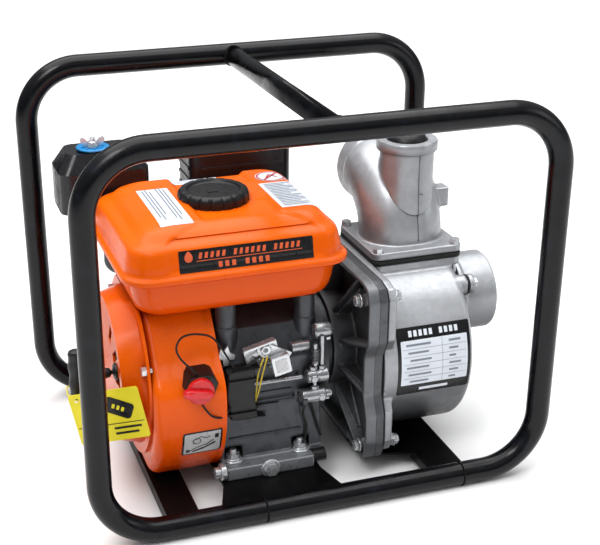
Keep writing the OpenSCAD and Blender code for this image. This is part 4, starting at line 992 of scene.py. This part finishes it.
def filler_neck(shell):
    """The filler neck stands a little proud of the bend: its foot makes a U on the front."""
    hi = span("discharge_elbow")[1]
    neck = middle("filler_plug")
    flange_top = span("gaskets")[1].z
    steps, rows = 56, 9
    foot_z, foot_rise, top_z = hi.z - 79, 46, hi.z - 9

    def at(t, z, skin_in=0.0):
        r = 29.9 + 2.6 * (1 - step_between(hi.z - 76, hi.z - 42, z)) - skin_in
        return (neck.x + r * sin(t), neck.y - r * cos(t), z)

    rings = []
    for k in range(steps + 1):
        t = radians(-89) + radians(178) * k / steps
        low = foot_z + foot_rise * (1 - sqrt(max(0, 1 - sin(t) ** 2)))
        outer = [at(t, low + (top_z - low) * j / rows) for j in range(rows + 1)]
        inner = [at(t, low + (top_z - low) * j / rows, 3.2) for j in range(rows, -1, -1)]
        rings.append(outer + inner)
    piece("neck_sleeve", *skin(rings), CAST, slot="cast_alloy", edge=1.0, angle=50)
    lip = turned([(30, hi.z - 12), (32.6, hi.z - 11.4), (33.4, hi.z - 10.2), (33.5, hi.z - 1.4),
                  (32.6, hi.z + 0.1), (28, hi.z + 0.3), (24.4, hi.z + 0.1), (23.6, hi.z - 1),
                  (23.6, hi.z - 12)], (neck.x, neck.y, 0), Z, 72, start=False, end=False)
    piece("neck_lip", *lip, CAST, slot="cast_alloy")
    tree = tree_of(shell, bpy.data.objects["neck_sleeve"])
    path = []
    z = hi.z - 13
    while z > flange_top + 12:
        hit = tree.ray_cast(Vector((neck.x + 2, -200, z)) * MM, Y, 1)[0]
        if hit:
            path.append(hit / MM + Vector((0, -0.05, 0)))
        z -= 2.5
    line = rod(path, 0.62, 6)
    cross = rod([path[17] + Vector((-5, 0.6, 0)), path[17] + Vector((5, 0.2, 0))], 0.55, 6)
    # Painted shadow: the raised mould line and its cross mark use the dark adapter alloy, darker than the
    # elbow, to stand for the shade along them.
    piece("mould_line", *join([line, cross]), CAST_DARK, slot="cast_alloy")


def adapter_webs():
    """Raised rim and webs on the engine side of the pump adapter, read from the CAD outline."""
    lo, hi = span("pump_adapter")
    shaft = middle("shaft_seal")
    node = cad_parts["pump_adapter"]
    tree = tree_of(node)
    centre = Vector((hi.x - 4, (lo.y + hi.y) / 2, (lo.z + hi.z) / 2 + 6))
    n = 180
    edge = []
    for k in range(n):
        out = Vector((0, cos(tau * k / n), sin(tau * k / n)))
        hit = tree.ray_cast(centre * MM + out * 0.3, -out, 0.29)[0]
        edge.append((hit / MM - centre).length)
    back, face = hi.x - 10.5, hi.x - 21

    def ring(x, inset):
        return [(x, centre.y + (edge[k] - inset) * cos(tau * k / n),
                 centre.z + (edge[k] - inset) * sin(tau * k / n)) for k in range(n)]

    rings = [ring(back + 1, 0.2), ring(face + 1.4, 0.2), ring(face + 0.4, 0.7), ring(face, 1.8),
             ring(face, 4.2), ring(face + 0.6, 5.2), ring(face + 2, 5.8), ring(back + 1, 7.5)]
    parts = [skin(rings, False, False)]
    for angle in (20, 56, 92, 128, 163, 196, 230, 308, 342):
        out = Vector((0, cos(radians(angle)), sin(radians(angle))))
        hit = tree.ray_cast(Vector((hi.x - 4, shaft.y, shaft.z)) * MM + out * 0.3, -out, 0.29)[0]
        reach = (hit / MM - Vector((hi.x - 4, shaft.y, shaft.z))).length - 4
        side = X.cross(out)
        foot = Vector((0, shaft.y, shaft.z))
        web = []
        for x, r in ((lo.x + 6, 54), (face + 1, reach), (back + 1, reach), (back + 1, 54)):
            for half in (-1.9, 1.9):
                web.append(foot + out * r + side * half + X * x)
        verts = [web[i] for i in (0, 2, 4, 6, 1, 3, 5, 7)]
        faces = [[0, 1, 2, 3], [7, 6, 5, 4], [0, 4, 5, 1], [1, 5, 6, 2], [2, 6, 7, 3], [3, 7, 4, 0]]
        parts.append((verts, faces))
    piece("adapter_ribs", *join(parts), CAST_DARK, slot="cast_alloy", edge=0.9)


def flange_bolts():
    """Heads with washers on both flanges, at the places of the CAD bolts."""
    adapter = span("pump_adapter")
    parts = []
    for lo, hi in islands(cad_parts["fasteners"].data):
        along = hi.x - lo.x > 25 and hi.y - lo.y < 20
        if not along or abs(lo.x - (adapter[1].x - 16)) > 6:
            continue
        y, z = (lo.y + hi.y) / 2, (lo.z + hi.z) / 2
        for x, way in ((adapter[1].x - 21, -1), (hi.x - 1, 1)):
            washer = turned([(7.4, 0), (7.4, 1.2), (6.9, 1.7), (4, 1.7)], (0, 0, 0), Z, 32)
            head = skin([[(r * cos(tau * k / 6), r * sin(tau * k / 6), h) for k in range(6)]
                         for r, h in ((5.2, 1.6), (6, 2.1), (6, 5.6), (5.2, 6.4))])
            for verts, faces in (washer, head):
                parts.append(([(x + way * v[2], y + v[0], z + v[1]) for v in verts], faces))
    piece("flange_bolt_heads", *join(parts), ZINC, slot="zinc", edge=0.4)


def pump():
    elbow = cast_copy("discharge_elbow", "elbow_shell", CAST, 1.3, 6)
    cast_copy("pump_casing", "casing_shell", CAST, 1.5, 4)
    # The adapter shell gets the darker copy of the adapter alloy, which is painted shade.
    cast_copy("pump_adapter", "adapter_shell", ADAPTER_SHADED, 1.4, 3)
    cast_copy("suction_flange", "suction_shell", CAST, 1.3, 3)
    for node in ("volute", "impeller"):
        dress(node, IRON, 0.4)
    dress("check_valve", RUBBER, 0.5)
    dress("shaft_seal", CERAMIC, 0.3)
    dress("gaskets", RUBBER, 0)
    nameplate()
    filler_neck(elbow)
    adapter_webs()
    flange_bolts()
    lo, hi = span("filler_plug")
    at = ((lo.x + hi.x) / 2, (lo.y + hi.y) / 2, 0)
    r = (hi.x - lo.x) / 2
    rim = hi.z - 11
    dome = turned([(r - 0.3, lo.z), (r - 0.3, rim - 1), (r - 0.8, rim), (r - 2, rim + 2), (r - 4, rim + 4.6),
                   (r - 7, rim + 5.6), (6, rim + 6)], at, Z, 48)
    bar = skin([[(x, y, z) for x, y in rounded_rect(at[0], at[1], 16 * s, 5 * s, 3 * s)]
                for s, z in ((1, rim + 3), (1, rim + 8), (0.94, rim + 10), (0.84, hi.z))])
    o = piece("plug_body", *join([dome, bar]), BLACK_PLASTIC, "plug", "black_plastic", angle=45)
    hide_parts("filler_plug")


# ---------------------------------------------------------------- plain parts, foot and air cleaner


def islands(mesh):
    """Corner pairs of each loose part of a mesh, in millimetres, in the order of their places."""
    b = bmesh.new()
    b.from_mesh(mesh)
    bmesh.ops.remove_doubles(b, verts=b.verts, dist=1e-5)
    left, out = set(b.verts), []
    while left:
        stack, seen = [left.pop()], []
        while stack:
            v = stack.pop()
            seen.append(v)
            for e in v.link_edges:
                w = e.other_vert(v)
                if w in left:
                    left.discard(w)
                    stack.append(w)
        pts = [v.co / MM for v in seen]
        out.append((Vector(map(min, *pts)), Vector(map(max, *pts))))
    b.free()
    return sorted(out, key=lambda corners: (*corners[0], *corners[1]))


def plain_parts():
    """The CAD nodes that need no more than a material and rounded edges."""
    for material, edge, nodes in (
            (STEEL, 0.3, ("crankshaft", "camshaft", "crank_pin", "wrist_pin", "intake_valve",
                          "exhaust_valve", "main_bearings", "starter_cup")),
            (CAST, 0.4, ("piston", "connecting_rod")),
            (CAST, 0.5, ("cylinder_head",)),
            (CAST, 0.6, ("carburetor",)),
            (IRON, 0.4, ("flywheel",)),
            (CASE_GREY, 1, ("rubber_mounts", "crankcase_cover")),
            (BLACK_PLASTIC, 1, ("ignition_coil", "oil_dipstick")),
            (BLACK_PLASTIC, 0.5, ("choke_lever", "fuel_valve_lever")),
            (RUBBER, 0.3, ("oil_seals",)),
            (GLOSS_PLASTIC, 1.5, ("rocker_cover",)),
            (FOAM, 1, ("air_filter",)),
            (CERAMIC, 0.4, ("spark_plug",))):
        for node in nodes:
            dress(node, material, edge)
    dress("fasteners", ZINC, 0.7, 30)
    dress("muffler", MUFFLER, 2.5, 30)
    dress("air_cleaner_case", GLOSS_PLASTIC, 1.5, 30)
    dress("air_cleaner_cover", GLOSS_PLASTIC, 3, 20)
    cast_copy("crankcase", "case_shell", CASE_GREY, 1.3, 2)


def engine_foot():
    """Machined rails along the foot, bolt heads with washers, and the stiffening lines above."""
    lo = span("crankcase")[0]
    bolts = [part for part in islands(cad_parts["fasteners"].data)
             if part[0].z < 30 and part[1].z < 60 and part[1].x < lo.x + 110 and part[1].z > 44]
    bottom, top = lo.z, lo.z + 14.3
    x0, x1 = lo.x + 1.6, lo.x + 100.4
    rails = [slab(box_shape(x0, y0, x1, y1, 3), upright, bottom, top)
             for y0, y1 in ((lo.y - 0.4, lo.y + 12), (54, 66.4))]
    piece("foot_rails", *join(rails), FOOT_GREY, slot="dark_casting", edge=1.2)
    lugs = []
    for a, b in bolts:
        x, y = (a.x + b.x) / 2, (a.y + b.y) / 2
        lugs.append(turned([(11.5, top - 1), (11.5, top + 1.2), (10.6, top + 2)], (x, y, 0), Z, 40))
        lugs.append(turned([(9, top + 1), (9, top + 3), (8.4, top + 3.4)], (x, y, 0), Z, 40))
        lugs.append(turned([(3.9, b.z - 1), (3.9, b.z + 4), (3.2, b.z + 5)], (x, y, 0), Z, 24))
    piece("foot_bolt_trim", *join(lugs), ZINC, slot="zinc", edge=0.4)
    drain = turned([(11, -0.2), (11, 1.6), (9.6, 2.2)], (-50, lo.y - 0.4, 33), -Y, 40)
    boss = turned([(9.6, 0), (9.6, 5), (8.4, 6)], (x0, lo.y + 8, 33), -X, 32)
    piece("drain_washer", *join([drain, boss]), ZINC, slot="zinc", edge=0.4)
    lines = []
    for z, from_x, to_x in ((64, x0 + 8, x1 - 10), (97, x0 + 22, x1 - 34), (112, x0 + 40, x1 - 20)):
        y = -112 + (z - 38) * 6 / 58 if z < 96 else -106
        lines.append(slab(rounded_rect((from_x + to_x) / 2, y, (to_x - from_x) / 2, 1.6, 1.5, 4),
                          upright, z, z + 2.4))
    piece("case_ledges", *join(lines), CASE_GREY, slot="dark_casting", edge=0.5)


def air_cleaner_and_muffler():
    x, y, _ = middle("wing_nut")
    lid = span("air_cleaner_cover")[1].z
    dish = turned([(3.4, lid + 2.2), (8, lid + 2), (14, lid + 2.6), (17.5, lid + 3.6), (18.6, lid + 3),
                   (18.4, lid + 1.6), (15, lid + 0.6)], (x, y, 0), Z, 56, start=False, end=False)
    dots = [turned([(1.2, lid + 2.2), (1.2, lid + 3.6), (0.7, lid + 4)],
                   (x + 11.5 * cos(t), y + 11.5 * sin(t), 0), Z, 12)
            for t in [tau * k / 8 for k in range(8)]]
    piece("lid_washer", *join([dish, *dots]), BLUE, slot="black_plastic")
    wings = []
    for side in (-1, 1):
        plan = [(4, 5), (6, 3.6), (10, 4.4), (13.6, 8), (14, 12), (11.6, 14.2), (8, 12.6), (5, 9)]
        wings.append(slab([(side * u, v) for u, v in plan],
                          lambda u, v, w: (x + u, y + w, lid + v), -1.3, 1.3))
    hub = turned([(6.4, lid + 2), (6.8, lid + 3), (6.0, lid + 8), (4.6, lid + 9.4), (3.1, lid + 9.4),
                  (3.1, lid + 13), (2.6, lid + 13.6)], (x, y, 0), Z, 32)
    o = piece("wing_nut_body", *join([hub, *wings]), ZINC, "cleaner_nut", "zinc", edge=0.4)
    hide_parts("wing_nut")
    lo, hi = span("muffler")
    lo.y, lo.z = hi.y - 58, hi.z - 72
    panel = []
    for k in range(9):
        cx = lo.x + 14 + 11.5 * k
        panel.append(slab(rounded_rect(cx, (lo.y + hi.y) / 2, 2.6, 22, 2.6, 5),
                          upright, hi.z - 0.4, hi.z + 1.1))
    for k in range(4):
        panel.append(slab(rounded_rect((lo.x + hi.x) / 2, lo.z + 16 + 13 * k, 48, 2.2, 2.2, 5),
                          lambda u, v, w: (u, w, v), lo.y - 1.1, lo.y + 0.4))
        panel.append(slab(rounded_rect((lo.y + hi.y) / 2, lo.z + 16 + 13 * k, 22, 2.2, 2.2, 5),
                          lambda u, v, w: (w, u, v), lo.x - 1.1, lo.x + 0.4))
    piece("heat_shield_ribs", *join(panel), MUFFLER, slot="black_tube", edge=0.5)


# ---------------------------------------------------------------- stage


def studio():
    size = 40
    mesh = bpy.data.meshes.new("floor")
    low = cad_box[0].z
    mesh.from_pydata([(-size, -size, low), (size, -size, low), (size, size, low), (-size, size, low)],
                     [], [(0, 1, 2, 3)])
    mesh.materials.append(surface("floor_paper", (0.95, 0.95, 0.95), 0.9, tint=0.01, tint_size=400,
                                  grain=2, depth=0.02))
    floor = put("floor", mesh)
    world = bpy.data.worlds.new("studio")
    bpy.context.scene.world = world
    world.use_nodes = True
    sky = world.node_tree.nodes
    height = sky.new("ShaderNodeSeparateXYZ")
    world.node_tree.links.new(sky.new("ShaderNodeTexCoord").outputs["Generated"], height.inputs["Vector"])
    ramp = sky.new("ShaderNodeValToRGB")
    ramp.color_ramp.elements[0].position = 0.05
    ramp.color_ramp.elements[0].color = (0.2, 0.21, 0.23, 1)
    ramp.color_ramp.elements[1].position = 0.75
    ramp.color_ramp.elements[1].color = (1, 1, 1, 1)
    world.node_tree.links.new(height.outputs["Z"], ramp.inputs["Fac"])
    world.node_tree.links.new(ramp.outputs["Color"], sky["Background"].inputs["Color"])
    sky["Background"].inputs["Strength"].default_value = 0.62
    for name, at, aim, power, width in (
            ("key", (-1.2, -1.3, 2.3), (0, 0, 0.2), 24, 0.9),
            ("fill", (2.0, -1.2, 1.1), (0, 0, 0.2), 5, 1.0),
            ("top", (0.0, 0.5, 3.4), (0, 0.2, 0), 165, 4.2)):
        light = bpy.data.lights.new(name, "AREA")
        light.energy = power
        light.size = width
        o = put(name, light)
        o.location = at
        o.rotation_euler = (Vector(aim) - Vector(at)).to_track_quat("-Z", "Y").to_euler()


def camera():
    azimuth, elevation, roll = radians(-17.55), radians(23.03), radians(-0.47)
    back = Vector((sin(azimuth) * cos(elevation), -cos(azimuth) * cos(elevation), sin(elevation)))
    data = bpy.data.cameras.new("camera")
    data.sensor_width = 36
    data.lens = 72.75
    data.shift_x, data.shift_y = 0.0836, 0.0193
    data.clip_start, data.clip_end = 0.05, 60
    o = put("camera", data)
    o.location = (-0.40707, -1.18831, 0.72238)
    o.rotation_mode = "QUATERNION"
    o.rotation_quaternion = (-back).to_track_quat("-Z", "Y") @ Matrix.Rotation(roll, 4, "Z").to_quaternion()
    bpy.context.scene.camera = o


frame_pieces()
tank_lower()
fuel_cap()
tank_labels(tank_upper())
shroud_label(fan_shroud())
rope_and_guide(*starter())
hang_tag()
switch()
controls()
wires()
plain_parts()
engine_foot()
air_cleaner_and_muffler()
pump()
studio()
camera()
bpy.context.scene.view_settings.view_transform = "Standard"
